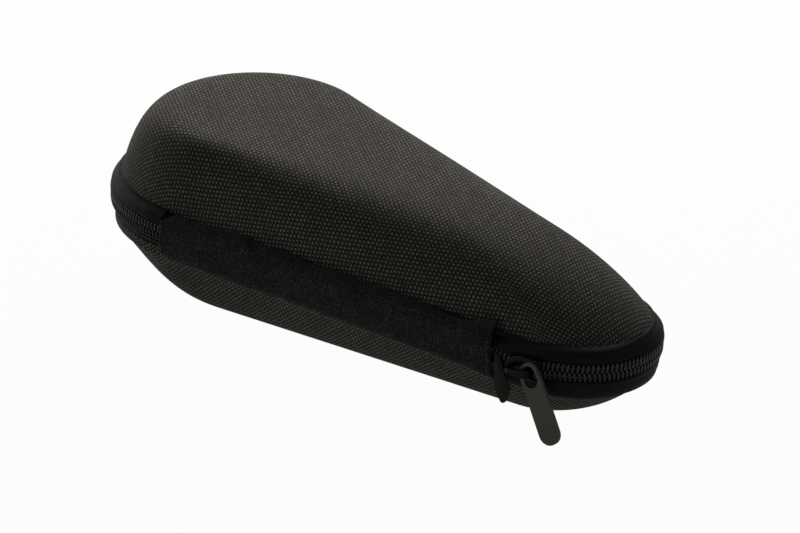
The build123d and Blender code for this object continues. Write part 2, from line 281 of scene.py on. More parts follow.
# ---------------------------------------------------------------- hand tools
def deselect() -> None:
    """Leave object mode on and nothing selected."""
    if bpy.context.object and bpy.context.object.mode != "OBJECT":
        bpy.ops.object.mode_set(mode="OBJECT")
    bpy.ops.object.select_all(action="DESELECT")


def take_up(piece: Piece) -> None:
    """Select one piece alone and make it active."""
    deselect()
    piece.select_set(True)
    bpy.context.view_layer.objects.active = piece


def edit(piece: Piece, *steps: Callable[[], object]) -> None:
    """Run operators in edit mode with the whole of a piece selected before each.

    Args:
        piece: The mesh to work on.
        *steps: Calls that run one operator each.
    """
    take_up(piece)
    bpy.ops.object.mode_set(mode="EDIT")
    for step in steps:
        bpy.ops.mesh.select_all(action="SELECT")
        step()
    bpy.ops.object.mode_set(mode="OBJECT")


def weld() -> object:
    """A step that merges vertices at the same place."""
    return bpy.ops.mesh.remove_doubles(threshold=WELD_GAP)


def face_out() -> object:
    """A step that turns every face outwards."""
    return bpy.ops.mesh.normals_make_consistent(inside=False)


def soften(piece: Piece, degrees: float) -> None:
    """Shade a piece smooth, apart from edges sharper than an angle."""
    take_up(piece)
    bpy.ops.object.shade_smooth_by_angle(angle=math.radians(degrees))


def round_edges(piece: Piece, width: float) -> None:
    """Round every edge sharper than 30 degrees by a width in the mesh's own unit."""
    take_up(piece)
    bevel = piece.modifiers.new("bevel", "BEVEL")
    bevel.width, bevel.segments = width, 4
    bevel.limit_method, bevel.angle_limit = "ANGLE", math.radians(30)
    bevel.harden_normals = False
    bpy.ops.object.modifier_apply(modifier=bevel.name)


def put(piece: Piece, place: Matrix) -> Piece:
    """Put a piece that was made in mm at its place, and leave its object at the origin.

    Args:
        piece: The piece.
        place: From the piece's own frame to the case frame.

    Returns:
        The piece.
    """
    piece.data.transform(CASE_TO_PART @ place @ piece.matrix_world)
    piece.matrix_world = Matrix.Identity(4)
    return piece


def join(pieces: Sequence[Piece]) -> Piece:
    """Join pieces into the first of them."""
    take_up(pieces[0])
    for piece in pieces:
        piece.select_set(True)
    bpy.ops.object.join()
    return pieces[0]


def lay_cloth(name: str, points: Array, along: Array, closed: bool = True) -> Piece:
    """Lay a grid of vertices over a form.

    Args:
        name: The piece's name.
        points: Rows and columns of points in the case frame, in mm.
        along: The cloth's own flat coordinates at each point, in mm.
        closed: Whether holes at the ends are filled.

    Returns:
        The piece, with its flat coordinates as the UV map "cloth".
    """
    rows, columns = points.shape[:2]
    deselect()
    bpy.ops.mesh.primitive_grid_add(x_subdivisions=columns - 1, y_subdivisions=rows - 1, size=2.0,
                                    calc_uvs=True)
    piece = bpy.context.object
    piece.name = piece.data.name = name
    mesh = piece.data
    flat = np.empty(len(mesh.vertices) * 3)
    mesh.vertices.foreach_get("co", flat)
    flat = flat.reshape(-1, 3)
    column = np.rint((flat[:, 0] + 1) / 2 * (columns - 1)).astype(int)
    row = np.rint((flat[:, 1] + 1) / 2 * (rows - 1)).astype(int)
    mesh.vertices.foreach_set("co", case_to_part(points[row, column]).ravel())
    corners = np.empty(len(mesh.loops), int)
    mesh.loops.foreach_get("vertex_index", corners)
    layer = mesh.uv_layers.active
    layer.name = "cloth"
    layer.uv.foreach_set("vector", along[row, column][corners].astype(np.float32).ravel())
    mesh.update()
    fill = [lambda: bpy.ops.mesh.fill_holes(sides=0)] if closed else []
    edit(piece, weld, *fill, face_out)
    soften(piece, 50)
    return piece


def closed_line(points: Array) -> tuple[Array, Array]:
    """A closed line's points with the first one again at the end, and their distances along it."""
    loop = np.vstack((points, points[:1]))
    return loop, np.concatenate(([0], np.cumsum(np.hypot(*np.diff(loop, axis=0).T))))


def ribbon(name: str, profile: Array, run: Array, wobble: Array | float = 0.0,
           ring: bool = False, slide: Array | float = 0.0, rise: Array | float = 0.0,
           sinks: bool = False) -> Piece:
    """Run a closed section along the rim.

    Args:
        name: The piece's name.
        profile: The section's corners as inset and height; the first isn't repeated.
        run: Distances along the rim, in order.
        wobble: How far each run and corner stands out from the section, in mm.
        ring: Whether it goes all the way round.
        slide: How far each run and corner is moved along the rim.
        rise: How far each run and corner is lifted.
        sinks: Whether it hangs with the rim beside the hinge strip.

    Returns:
        The piece.
    """
    loop, across = closed_line(profile)
    spots = on_rim(run[None, :] + slide, loop[:, :1] - wobble, loop[:, 1:] + rise)
    spots = settle(spots) if sinks else spots
    flat = np.stack(np.broadcast_arrays(run[None, :], across[:, None]), -1)
    return lay_cloth(name, spots, flat, closed=not ring)


def smooth_loop(corners: Corners, spacing: float = 0.35) -> Array:
    """A closed line through points, rounded between them.

    Args:
        corners: The points; one that is given twice stays sharp.
        spacing: About how far apart the line's points are.

    Returns:
        The line's points.
    """
    points = np.array(corners, float)
    count = len(points)
    line = []
    for i in range(count):
        before, here, after, beyond = (points[(i + k) % count] for k in (-1, 0, 1, 2))
        gap = np.hypot(*(after - here))
        if gap < 1e-6:
            line.append(here)
            continue
        steps = max(1, round(gap / spacing))
        t = (np.arange(steps) / steps)[:, None]
        into = (after - before) / 2 * min(1.0, gap / max(np.hypot(*(after - before)), 1e-6) * 1.6)
        out = (beyond - here) / 2 * min(1.0, gap / max(np.hypot(*(beyond - here)), 1e-6) * 1.6)
        line.extend((2 * t**3 - 3 * t**2 + 1) * here + (t**3 - 2 * t**2 + t) * into
                    + (3 * t**2 - 2 * t**3) * after + (t**3 - t**2) * out)
    line = np.array(line)
    keep = np.hypot(*(line - np.roll(line, 1, 0)).T) > 1e-6
    return line[keep]


def tube(name: str, path: Array, radius: Array | float, sides: int = 6) -> Piece:
    """Draw a round yarn or wire along a path.

    Args:
        name: The piece's name.
        path: Points in the case frame, in mm, or rows of equal lengths, one for each short piece.
        radius: The radius at each point.
        sides: How many sides its section has.

    Returns:
        The piece, with distance along and round it as the UV map "cloth".
    """
    paths = path if path.ndim == 3 else path[None]
    count, length = paths.shape[:2]
    ahead = unit(np.gradient(paths, axis=1))
    side = unit(np.cross(ahead, (0.0, 0.0, 1.0)))
    up = np.cross(side, ahead)
    turn = np.arange(sides + 1) * 2 * math.pi / sides
    size = np.broadcast_to(np.asarray(radius, float), (count, length))[..., None, None]
    rings = paths[:, :, None] + size * (
        side[:, :, None] * np.cos(turn)[:, None] + up[:, :, None] * np.sin(turn)[:, None])
    mesh = bpy.data.meshes.new(name)
    piece = bpy.data.objects.new(name, mesh)
    bpy.context.scene.collection.objects.link(piece)
    verts = case_to_part(rings[:, :, :sides].reshape(-1, 3))
    base = (np.arange(count) * length * sides)[:, None, None]
    i = (np.arange(length - 1) * sides)[None, :, None]
    j = np.arange(sides)[None, None, :]
    k = (np.arange(sides) + 1) % sides
    quads = np.stack((base + i + j, base + i + sides + j, base + i + sides + k, base + i + k), -1)
    faces = quads.reshape(-1, 4).tolist()
    first = base[:, 0, 0][:, None] + np.arange(sides)
    faces += first.tolist() + (first + (length - 1) * sides)[:, ::-1].tolist()
    mesh.from_pydata(verts.tolist(), [], faces)
    far = np.concatenate((np.zeros((count, 1)), np.cumsum(
        np.linalg.norm(np.diff(paths, axis=1), axis=2), 1)), 1).ravel()
    layer = mesh.uv_layers.new(name="cloth")
    corners = np.empty(len(mesh.loops), int)
    mesh.loops.foreach_get("vertex_index", corners)
    round_it = (corners % sides) / sides
    layer.uv.foreach_set("vector", np.stack((far[corners // sides], round_it), -1)
                         .astype(np.float32).ravel())
    mesh.validate()
    edit(piece, face_out)
    soften(piece, 60)
    return piece


def cut_blank(name: str, outline: Array, low: float, high: float,
              hole: Array | None = None) -> Piece:
    """Cut a flat blank from sheet, with its corners on an outline, in mm.

    Args:
        name: The piece's name.
        outline: The outside's points.
        low: Height of its lower face.
        high: Height of its upper face.
        hole: A hole's points, as many as the outside's, starting at the same side.

    Returns:
        The blank.
    """
    loops = []
    for line in (outline, hole):
        if line is None:
            continue
        deselect()
        bpy.ops.mesh.primitive_circle_add(vertices=len(line), radius=1.0,
                                          fill_type="NGON" if hole is None else "NOTHING")
        loop = bpy.context.object
        for vertex, (x, y) in zip(loop.data.vertices, line):
            vertex.co = (x, y, low)
        loops.append(loop)
    piece = join(loops)
    piece.name = piece.data.name = name
    steps = [] if hole is None else [lambda: bpy.ops.mesh.bridge_edge_loops()]
    lift = {"value": (0.0, 0.0, high - low)}
    edit(piece, *steps, lambda: bpy.ops.mesh.extrude_region_move(TRANSFORM_OT_translate=lift),
         face_out)
    return piece


def rounded(corners: Corners, radius: float, steps: int = 4) -> Array:
    """A closed outline with its corners rounded.

    Args:
        corners: The outline's corners.
        radius: The rounding, cut down where an edge is short.
        steps: How many parts each rounding has.

    Returns:
        The outline's points.
    """
    points = np.array(corners, float)
    line = []
    for i, here in enumerate(points):
        before, after = points[i - 1] - here, points[(i + 1) % len(points)] - here
        reach = min(radius, 0.45 * np.hypot(*before), 0.45 * np.hypot(*after))
        start = here + before / np.hypot(*before) * reach
        end = here + after / np.hypot(*after) * reach
        for t in np.linspace(0, 1, steps + 1):
            line.append((1 - t) ** 2 * start + 2 * t * (1 - t) * here + t**2 * end)
    return np.array(line)


def dress(piece: Piece, material: Finish, slot: str, rides: str | None,
          *nodes: str) -> Piece:
    """Give a piece its material, its body and the CAD nodes that it stands for.

    Args:
        piece: The finished piece.
        material: Its material.
        slot: Not used.
        rides: The body it moves with, or None where it bends between two.
        *nodes: The CAD nodes.

    Returns:
        The piece.
    """
    piece.data.materials.clear()
    piece.data.materials.append(material)
    if nodes:
        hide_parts(*nodes)
    if rides:
        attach(piece, rides)
    LOG.info("%s: %d faces, stands for %s", piece.name, len(piece.data.polygons), ", ".join(nodes))
    return piece


# ---------------------------------------------------------------- finishes
def shader_math(operation: str) -> Callable[..., "Wire"]:
    """A method of Wire that adds one Math node, on the wire and then any other values."""
    def method(self: "Wire", *others: "Wire | float") -> "Wire":
        return self.desk.math(operation, self, *others)

    return method


class Wire:
    """A value in a shader that can be used in plain arithmetic."""

    def __init__(self, desk: "Desk", socket: bpy.types.NodeSocket) -> None:
        """Wrap an output socket of the desk's node tree."""
        self.desk, self.socket = desk, socket

    __add__, __sub__, __mul__, __pow__ = map(shader_math, ("ADD", "SUBTRACT", "MULTIPLY", "POWER"))
    __radd__, __rmul__ = __add__, __mul__
    floor, sine, abs, top = map(shader_math, ("FLOOR", "SINE", "ABSOLUTE", "MAXIMUM"))

    def __rsub__(self, other: float) -> "Wire":
        """A number less this."""
        return self.desk.math("SUBTRACT", other, self)

    def over(self, low: float, high: float) -> "Wire":
        """How far this is between two numbers, smoothly from 0 to 1."""
        return self.desk.node("ShaderNodeMapRange", {"interpolation_type": "SMOOTHSTEP"},
                              {0: self, 1: low, 2: high, 3: 0.0, 4: 1.0})


class Desk:
    """Builds the nodes of one material, or of the world."""

    def __init__(self, name: str, world: bool = False) -> None:
        """Start an empty material or world.

        Args:
            name: Its name.
            world: Whether it is a world.
        """
        self.owner = (bpy.data.worlds if world else bpy.data.materials).new(name)
        self.owner.use_nodes = True
        self.tree = self.owner.node_tree
        self.tree.nodes.clear()
        self.out = self.tree.nodes.new(f"ShaderNodeOutput{'World' if world else 'Material'}")

    def node(self, kind: str, settings: dict | None = None, inputs: dict | None = None,
             output: int | str = 0) -> Wire:
        """Add a node.

        Args:
            kind: The node's type.
            settings: Its properties, set first.
            inputs: Values or wires of its sockets, by name or number.
            output: Which output is wanted.

        Returns:
            That output.
        """
        made = self.tree.nodes.new(kind)
        for key, value in (settings or {}).items():
            setattr(made, key, value)
        for key, value in (inputs or {}).items():
            if isinstance(value, Wire):
                self.tree.links.new(value.socket, made.inputs[key])
            else:
                made.inputs[key].default_value = value
        return Wire(self, made.outputs[output])

    def math(self, operation: str, *values: Wire | float, clamp: bool = False) -> Wire:
        """A Math node on values, held between 0 and 1 where it is clamped."""
        settings = {"operation": operation, "use_clamp": clamp}
        return self.node("ShaderNodeMath", settings, dict(enumerate(values)))

    def rays(self, *kinds: str) -> list[Wire]:
        """1 for each kind of ray where the ray that looks is of that kind."""
        return [self.node("ShaderNodeLightPath", output=f"Is {kind} Ray") for kind in kinds]

    def mix(self, share: Wire, one: Wire, other: Wire) -> Wire:
        """Mix two shaders."""
        return self.node("ShaderNodeMixShader", {}, {0: share, 1: one, 2: other})

    def tones(self, share: Wire, colour: Colour, low: float, high: float) -> Wire:
        """From one colour times a low number to the same colour times a high one."""
        return self.blend(share, scaled(colour, low), scaled(colour, high))

    def close(self, shader: Wire) -> Finish | bpy.types.World:
        """Let a shader be what the material or the world shows.

        Args:
            shader: The last shader.

        Returns:
            The finished material or world.
        """
        self.tree.links.new(shader.socket, self.out.inputs[0])
        return self.owner

    def cloth(self) -> tuple[Wire, Wire, Wire]:
        """The piece's own flat coordinates in mm: the vector, along and across."""
        flat = self.node("ShaderNodeUVMap", {"uv_map": "cloth"})
        return flat, self.part(flat, 0), self.part(flat, 1)

    def place(self) -> Wire:
        """The place on the object, in mm."""
        here = self.node("ShaderNodeTexCoord", output="Object")
        return self.node("ShaderNodeVectorMath", {"operation": "SCALE"}, {0: here, 3: 1 / MM})

    def part(self, vector: Wire, index: int) -> Wire:
        """One component of a vector."""
        return self.node("ShaderNodeSeparateXYZ", {}, {0: vector}, index)

    def vector(self, x: Wire | float, y: Wire | float) -> Wire:
        """A flat vector of two values."""
        return self.node("ShaderNodeCombineXYZ", {}, {0: x, 1: y})

    def noise(self, where: Wire, scale: float, detail: float = 2.0, rough: float = 0.5) -> Wire:
        """Cloudy noise from 0 to 1."""
        return self.node("ShaderNodeTexNoise", {"noise_dimensions": "3D"},
                         {"Vector": where, "Scale": scale, "Detail": detail, "Roughness": rough})

    def cells(self, where: Wire, scale: float, feature: str = "F1") -> Wire:
        """Distance to the nearest of scattered points."""
        return self.node("ShaderNodeTexVoronoi", {"feature": feature},
                         {"Vector": where, "Scale": scale})

    def scatter(self, where: Wire) -> Wire:
        """A fresh number from 0 to 1 for each whole place."""
        return self.node("ShaderNodeTexWhiteNoise", {"noise_dimensions": "2D"}, {"Vector": where})

    def blend(self, share: Wire | float, one: "Wire | Colour", other: "Wire | Colour") -> Wire:
        """Mix two colours."""
        given = {0: share, 6: one if isinstance(one, Wire) else (*one, 1.0),
                 7: other if isinstance(other, Wire) else (*other, 1.0)}
        return self.node("ShaderNodeMix", {"data_type": "RGBA"}, given, 2)

    def bump(self, height: Wire, depth: float, strength: float) -> Wire:
        """A normal from a height between 0 and 1 that stands for a depth in mm."""
        return self.node("ShaderNodeBump", {},
                         {"Strength": strength, "Distance": depth * MM, "Height": height})

    def surface(self, **sockets: "Wire | float | Colour") -> Finish:
        """Close the material with a principled shader.

        Args:
            **sockets: Its inputs, with underscores for spaces.

        Returns:
            The finished material.
        """
        values = {}
        for key, value in sockets.items():
            name = {"Specular": "Specular IOR Level"}.get(key, key.replace("_", " "))
            values[name] = (*value, 1.0) if isinstance(value, tuple) else value
        return self.close(self.node("ShaderNodeBsdfPrincipled", {}, values))


def shade(red: float, green: float, blue: float) -> Colour:
    """A colour as seen on a screen, 0 to 255, in the renderer's own scale."""
    return tuple(((c / 255 + 0.055) / 1.055) ** 2.4 if c > 10 else c / 255 / 12.92
                 for c in (red, green, blue))


def scaled(colour: Colour, factor: float) -> Colour:
    """A colour made darker or lighter."""
    return tuple(c * factor for c in colour)


@dataclass(frozen=True)
class Canvas:
    """Plain weave of pale yarns over dark ones, uneven and melange, with painted shade in the gaps
    between them.
    """

    pale: Colour = shade(131, 125, 113)
    dark: Colour = shade(50, 49, 44)
    pale_pitch: float = 1.10
    dark_pitch: float = 0.75
    grain: float = -33.0
    wall_draw: float = 0.83

    def material(self) -> Finish:
        """Build the weave on the cloth's own flat coordinates."""
        desk = Desk("woven_canvas")
        flat, x, y = desk.cloth()
        drift_a = desk.noise(flat, 0.21, 4.0, 0.62) - 0.5
        drift_b = desk.noise(desk.vector(x + 40.0, y + 9.0), 0.21, 4.0, 0.62) - 0.5
        turn = math.radians(self.grain)
        a = (x * math.cos(turn) + y * math.sin(turn)) * (1 / self.dark_pitch) + drift_a * 1.2
        b = (y * math.cos(turn) - x * math.sin(turn)) * (1 / self.pale_pitch) + drift_b * 0.7
        column, row = a.floor(), b.floor()
        bow_a, bow_b = ((a - column) * math.pi).sine(), ((b - row) * math.pi).sine()
        knot = desk.scatter(desk.vector(column, row))
        sign = 1.0 - desk.math("FLOORED_MODULO", row + column, 2.0) * 2.0
        pale_rise = bow_b * 0.52 + sign * bow_a * 0.48
        dark_rise = bow_a ** 0.6 * 0.5 - sign * bow_b * 0.5
        height = pale_rise.top(dark_rise) * 0.5 + 0.5
        pale_on_top = (pale_rise - dark_rise).over(0.0, 0.3) * (
            bow_b * (bow_a * 0.35 + 0.65) + knot * 0.22).over(0.30, 0.78)
        yarn = desk.scatter(desk.vector(row, 3.0)) * 0.4 + knot * 0.6
        fibres = desk.noise(desk.vector(a * 0.8, b * 7.0), 1.7, 3.0, 0.65)
        pale = desk.tones(yarn * 0.6 + fibres * 0.4, self.pale, 0.42, 1.34)
        dark = desk.tones(fibres, self.dark, 0.6, 1.6)
        colour = desk.blend(pale_on_top, dark, pale)
        # Painted shade: the low places between yarns and between rows are darkened towards a deep shade
        # of the dark yarn.
        clear_of_painted_shade = height.over(0.50, 0.92) * (bow_b.over(0.0, 0.7) * 0.7 + 0.3)
        colour = desk.blend(clear_of_painted_shade, scaled(self.dark, 0.15), colour)
        cloud = desk.noise(flat, 0.06, 3.0)
        colour = desk.blend(cloud.over(0.35, 0.7) * 0.14, colour, self.dark)
        return desk.surface(
            Base_Color=colour, Roughness=0.92, Specular=0.15,
            Sheen_Weight=0.08, Sheen_Roughness=0.5, Sheen_Tint=shade(215, 208, 196),
            Normal=desk.bump(height + fibres * 0.10, 0.22, 0.9),
        )


@dataclass(frozen=True)
class Felt:
    """Matt black needled cloth with short stray fibres."""

    ground: Colour = shade(31, 31, 31)
    fibre: Colour = shade(108, 107, 104)

    def material(self) -> Finish:
        """Build the fibres on the place on the object."""
        desk = Desk("hinge_felt")
        here = desk.place()
        pile = desk.noise(here, 1.9, 4.0, 0.75)
        hairs = desk.cells(here, 2.3)
        speck = pile.over(0.47, 0.68) * (1.0 - hairs.over(0.3, 0.85))
        colour = desk.blend(speck, self.ground, self.fibre)
        worn = desk.noise(here, 0.12, 3.0).over(0.4, 0.7) * 0.35
        colour = desk.blend(worn, colour, scaled(self.ground, 0.5))
        return desk.surface(
            Base_Color=colour, Roughness=0.96, Specular=0.12,
            Sheen_Weight=0.05, Sheen_Roughness=0.6,
            Normal=desk.bump(pile * 0.7 + (1.0 - hairs) * 0.3, 0.16, 0.8),
        )


@dataclass(frozen=True)
class Satin:
    """Close, smooth black tape with fine ribs across it."""

    name: str = "satin_tape"
    colour: Colour = shade(23, 23, 22)
    rib: float = 0.42
    depth: float = 0.03
    roughness: float = 0.60

    def material(self) -> Finish:
        """Build the ribs on the tape's own length and width."""
        desk = Desk(self.name)
        flat, x, y = desk.cloth()
        ribs = ((x + (desk.noise(flat, 0.5) - 0.5) * 0.3) * (math.pi / self.rib)).sine().abs()
        warp = (y * (math.pi / (self.rib * 0.8))).sine().abs()
        weave = ribs * 0.7 + warp * 0.3
        wear = desk.noise(flat, 0.25, 3.0)
        colour = desk.tones(weave, self.colour, 0.62, 1.15)
        colour = desk.blend(wear.over(0.5, 0.75) * 0.25, colour, scaled(self.colour, 1.5))
        return desk.surface(
            Base_Color=colour, Roughness=wear * 0.16 + (self.roughness - 0.06), Specular=0.08,
            Sheen_Weight=0.02, Sheen_Roughness=0.35,
            Normal=desk.bump(weave, self.depth, 0.8),
        )


@dataclass(frozen=True)
class Nylon:
    """Black drawn nylon wire."""

    colour: Colour = shade(50, 50, 49)

    def material(self) -> Finish:
        """Build faint drawing marks and scuffs."""
        desk = Desk("nylon_coil")
        here = desk.place()
        scuff = desk.noise(here, 1.4, 3.0)
        return desk.surface(
            Base_Color=desk.tones(scuff, self.colour, 0.7, 1.5),
            Roughness=scuff * 0.25 + 0.25, Specular=0.45,
            Normal=desk.bump(desk.noise(here, 6.0), 0.01, 0.5),
        )


@dataclass(frozen=True)
class Thread:
    """Black twisted sewing thread or cord."""

    name: str = "thread"
    colour: Colour = shade(30, 30, 30)
    twist: float = 0.55

    def material(self) -> Finish:
        """Build the plies as slanting stripes."""
        desk = Desk(self.name)
        _, x, y = desk.cloth()
        plies = ((x * (math.pi / self.twist)) + y * (2 * math.pi)).sine().abs()
        return desk.surface(
            Base_Color=desk.tones(plies, self.colour, 0.4, 1.5),
            Roughness=0.7, Specular=0.25, Normal=desk.bump(plies, 0.06, 0.8),
        )


@dataclass(frozen=True)
class Lining:
    """Brushed warp-knit cloth: fine wales under a soft nap."""

    name: str = "brushed_lining"
    colour: Colour = shade(38, 38, 40)
    wale: float = 0.9

    def material(self) -> Finish:
        """Build the wales on the cloth's own flat coordinates."""
        desk = Desk(self.name)
        flat, x, y = desk.cloth()
        bend = (desk.noise(flat, 0.2) - 0.5) * 0.8
        wales = ((y + bend) * (math.pi / self.wale)).sine().abs()
        nap = desk.noise(flat, 1.6, 4.0, 0.7)
        brushed = desk.noise(flat, 0.07, 3.0)
        colour = desk.tones(nap, self.colour, 0.55, 1.5)
        colour = desk.blend(brushed.over(0.42, 0.66) * 0.35, colour, scaled(self.colour, 1.6))
        return desk.surface(
            Base_Color=colour, Roughness=0.95, Specular=0.12,
            Sheen_Weight=0.18, Sheen_Roughness=0.5,
            Normal=desk.bump(wales * 0.45 + nap * 0.55, 0.12, 0.7),
        )


@dataclass(frozen=True)
class Foam:
    """Cut edge and faces of pressed EVA foam, full of fine closed cells."""

    colour: Colour = shade(30, 30, 31)

    def material(self) -> Finish:
        """Build the cells on the place on the object."""
        desk = Desk("eva_foam")
        here = desk.place()
        cells = desk.cells(here, 4.5, "SMOOTH_F1")
        return desk.surface(
            Base_Color=desk.tones(cells, self.colour, 0.6, 1.35),
            Roughness=0.85, Specular=0.2, Normal=desk.bump(cells, 0.08, 0.7),
        )


@dataclass(frozen=True)
class Metal:
    """Plated or enamelled die casting with fine drag marks."""

    name: str
    colour: Colour
    metallic: float
    roughness: float
    coat: float
    marks: float
    specular: float

    def material(self) -> Finish:
        """Build the marks on the place on the object."""
        desk = Desk(self.name)
        here = desk.place()
        turned, stretched = (0.0, 0.6, 0.3), (0.35, 3.0, 1.0)
        streaks = desk.node("ShaderNodeMapping", {}, {0: here, 2: turned, 3: stretched})
        drag = desk.noise(streaks, 2.4, 4.0, 0.7)
        cloud = desk.noise(here, 0.22, 3.0)
        worn = desk.noise(here, 1.1, 4.0).over(0.56, 0.8)
        colour = desk.tones(drag, self.colour, 1 - self.marks, 1 + self.marks)
        bare = tuple(c * 2.2 + 0.01 for c in self.colour)
        colour = desk.blend(worn * (self.marks * 0.8), colour, bare)
        return desk.surface(
            Base_Color=colour, Metallic=self.metallic, Specular=self.specular,
            Roughness=drag * 0.12 + cloud * 0.12 + (self.roughness - 0.12),
            Coat_Weight=self.coat, Coat_Roughness=0.12,
            Normal=desk.bump(drag, 0.006, 0.5),
        )


# ---------------------------------------------------------------- the two shells
SHELL_COLUMNS = (56, 40, 56, 64)                   # on the hinge side, nose, far side and tail
SHELL_ROWS = 36                                    # from the rim to the crown's edge
CROWN_RINGS = (0.86, 0.7, 0.52, 0.34, 0.16, 0.0)   # shares of the crown's size, to its middle


@dataclass(frozen=True)
class Shell:
    """One moulded shell: its rim, the flat of its crown, and the curve of the wall between them."""

    side: Side
    inset: float                 # of the outer face at the rim
    start: float                 # height over the zip's plane where the wall starts to curve
    back: float                  # from the rim in to the crown's tail end
    front: float                 # from the rim in to the crown's nose end
    tail: float                  # radius of the crown's tail end
    nose: float                  # radius of the crown's nose end
    level: float                 # the crown's height at x = 0
    slope: float                 # the crown's slope along x
    inset_power: float           # the wall's curve: smaller is squarer at the crown's edge
    height_power: float          # the wall's curve: larger keeps the wall upright longer
    fullness: float = 0.0        # how far the long sides' middle stands out

    def section(self, step: float, depth: float) -> tuple[Outline, float, float]:
        """One level section of the dome.

        Args:
            step: 0 at the rim to a quarter turn at the crown's edge.
            depth: Distance under the outside.

        Returns:
            Its outline, its height at x = 0, and its slope along x.
        """
        inwards = max(math.cos(step), 0.0) ** self.inset_power
        upwards = math.sin(step) ** self.height_power
        aside = depth * inwards
        back = -HALF_LENGTH + self.inset + self.back * (1 - inwards) + aside
        front = HALF_LENGTH - self.inset - self.front * (1 - inwards) - aside
        tail = self.tail + (RIM.tail_radius - self.inset - self.tail) * inwards - aside
        nose = self.nose + (RIM.nose_radius - self.inset - self.nose) * inwards - aside
        start = self.side.value * self.start
        level = start + upwards * (self.level - start - self.side.value * depth)
        return Outline(back + tail, tail, front - nose, nose), level, upwards * self.slope

    def surface(self, depth: float, low: float) -> tuple[Array, Array]:
        """Points all over one surface of the shell, from its cut edge to the middle of its crown.

        Args:
            depth: Distance under the shell's outside.
            low: Height of the edge over the zip.

        Returns:
            The points, and the flat coordinates that the cloth over them had before pressing.
        """
        stations = np.concatenate([
            leg + np.arange(count) / count for leg, count in enumerate(SHELL_COLUMNS)] + [[4.0]])
        rows, ways, lefts = [], [], []
        for height in np.linspace(low, self.start, 4)[:-1]:
            outline, _, _ = self.section(0.0, depth)
            flat, way = outline.at(stations)
            rows.append(np.column_stack((flat, np.full(len(flat), self.side.value * height))))
            ways.append(way)
            lefts.append(1.0)
        for left in np.linspace(1, 0, SHELL_ROWS):
            step = math.pi / 2 * (1 - left ** (1 / self.inset_power))
            outline, level, slope = self.section(step, depth)
            flat, way = outline.at(stations)
            rows.append(np.column_stack((flat, level + slope * flat[:, 0])))
            ways.append(way)
            lefts.append(left)
        edge = rows[-1]
        middle = edge[:, :2].mean(0)
        for share in CROWN_RINGS:
            flat = middle + (edge[:, :2] - middle) * share
            rows.append(np.column_stack((flat, level + slope * flat[:, 0])))
            lefts.append(0.0)
        points = np.array(rows)
        if not depth:
            points = self.fill_out(points, np.array(lefts))
        points = settle(points)
        cloth = points[..., :2] @ self.draw(1.0)
        for row in range(len(ways) - 2, -1, -1):
            out = unit(ways[row] + ways[row + 1])
            side = np.column_stack((-out[:, 1], out[:, 0]))
            step = points[row] - points[row + 1]
            aside = np.sum(step[:, :2] * side, 1, keepdims=True)
            down = np.sqrt(np.maximum(np.sum(step**2, 1, keepdims=True) - aside**2, 0.0))
            cloth[row] = cloth[row + 1] + (out * down + side * aside) @ self.draw(
                max(0.0, 1 - lefts[row] / 0.4))
        return points, cloth

    def fill_out(self, points: Array, lefts: Array) -> Array:
        """Let the outer face of the dome's sides stand fuller than its sections in their middle.

        Args:
            points: Rows and columns of points, from the cut edge to the middle of the crown.
            lefts: How far each row is from the crown's edge: 1 at the rim, 0 on the crown.

        Returns:
            The points, moved out.
        """
        ring = np.concatenate((points[:, -2:-1], points, points[:, 1:2]), 1)
        out = unit(np.cross(np.gradient(ring, axis=1)[:, 1:-1], np.gradient(points, axis=0)))
        out *= np.sign(out[..., 2:])
        share = (lefts**4 * (1 - lefts) ** 2.2 / 0.0177)[:, None]
        return points + out * (self.fullness * share * np.exp(-(points[..., 0] / 48.0) ** 2))[..., None]

    @staticmethod
    def draw(share: float) -> Array:
        """How the press stretched the cloth along its pale yarns, fully on the crown.

        Args:
            share: 0 for a wall, 1 for the crown.

        Returns:
            A matrix from places on the shell to places on the unstretched cloth.
        """
        turn = math.radians(Canvas.grain)
        way = np.array((math.cos(turn), math.sin(turn)))
        return np.eye(2) - (1 - Canvas.wall_draw) * share * np.outer(way, way)

    def cloth(self, name: str, outer: float, inner: float, low: float) -> Piece:
        """A pressed cloth with its two faces, closed round its edge."""
        outside, flat = self.surface(outer, low)
        inside, flat_in = self.surface(inner, low)
        points = np.concatenate((outside[::-1], inside))
        return lay_cloth(name, points, np.concatenate((flat[::-1], flat_in)), closed=False)

    def blank(self, depth: float) -> tuple[float, float, float]:
        """Width, length and area of the flat cloth before it was pressed, in metres."""
        _, flat = self.surface(depth, RIM_GAP)
        edge = flat[0] * MM
        size = np.ptp(edge, axis=0)
        x, y = edge.T
        area = abs(float(np.dot(x[:-1], y[1:]) - np.dot(x[1:], y[:-1]))) / 2
        return float(size[1]), float(size[0]), area

    def build(self, canvas: Finish, lining: Finish,
              foam: Finish) -> None:
        """Make the outer cloth and the lining, and give the foam its finish."""
        who = self.side
        for kind, outer, thickness, material, slot, node in (
            ("canvas", 0.0, SKIN, canvas, "canvas", "canvas_cover"),
            ("lining", SKIN + CORE, CLOTH, lining, "lining_cloth", "lining"),
        ):
            piece = self.cloth(f"{who.body}_{kind}", outer, outer + thickness, RIM_GAP)
            dress(piece, material, slot, who.body, f"{who.shell}_{node}")
            width, length, area = self.blank(outer)
        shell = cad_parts[f"{who.shell}_eva_shell"]
        shell.data.materials.clear()
        shell.data.materials.append(foam)


# ---------------------------------------------------------------- the rim
@dataclass(frozen=True)
class BandForm:
    """One band's look: its ripple's seed, and how far the strip draws it in and presses it flat."""

    seed: float
    drawn_in: float
    pressed: float


BAND_FORMS = {Side.LID: BandForm(1.0, 0.5, 0.95), Side.BASE: BandForm(2.0, 0.15, 0.9)}


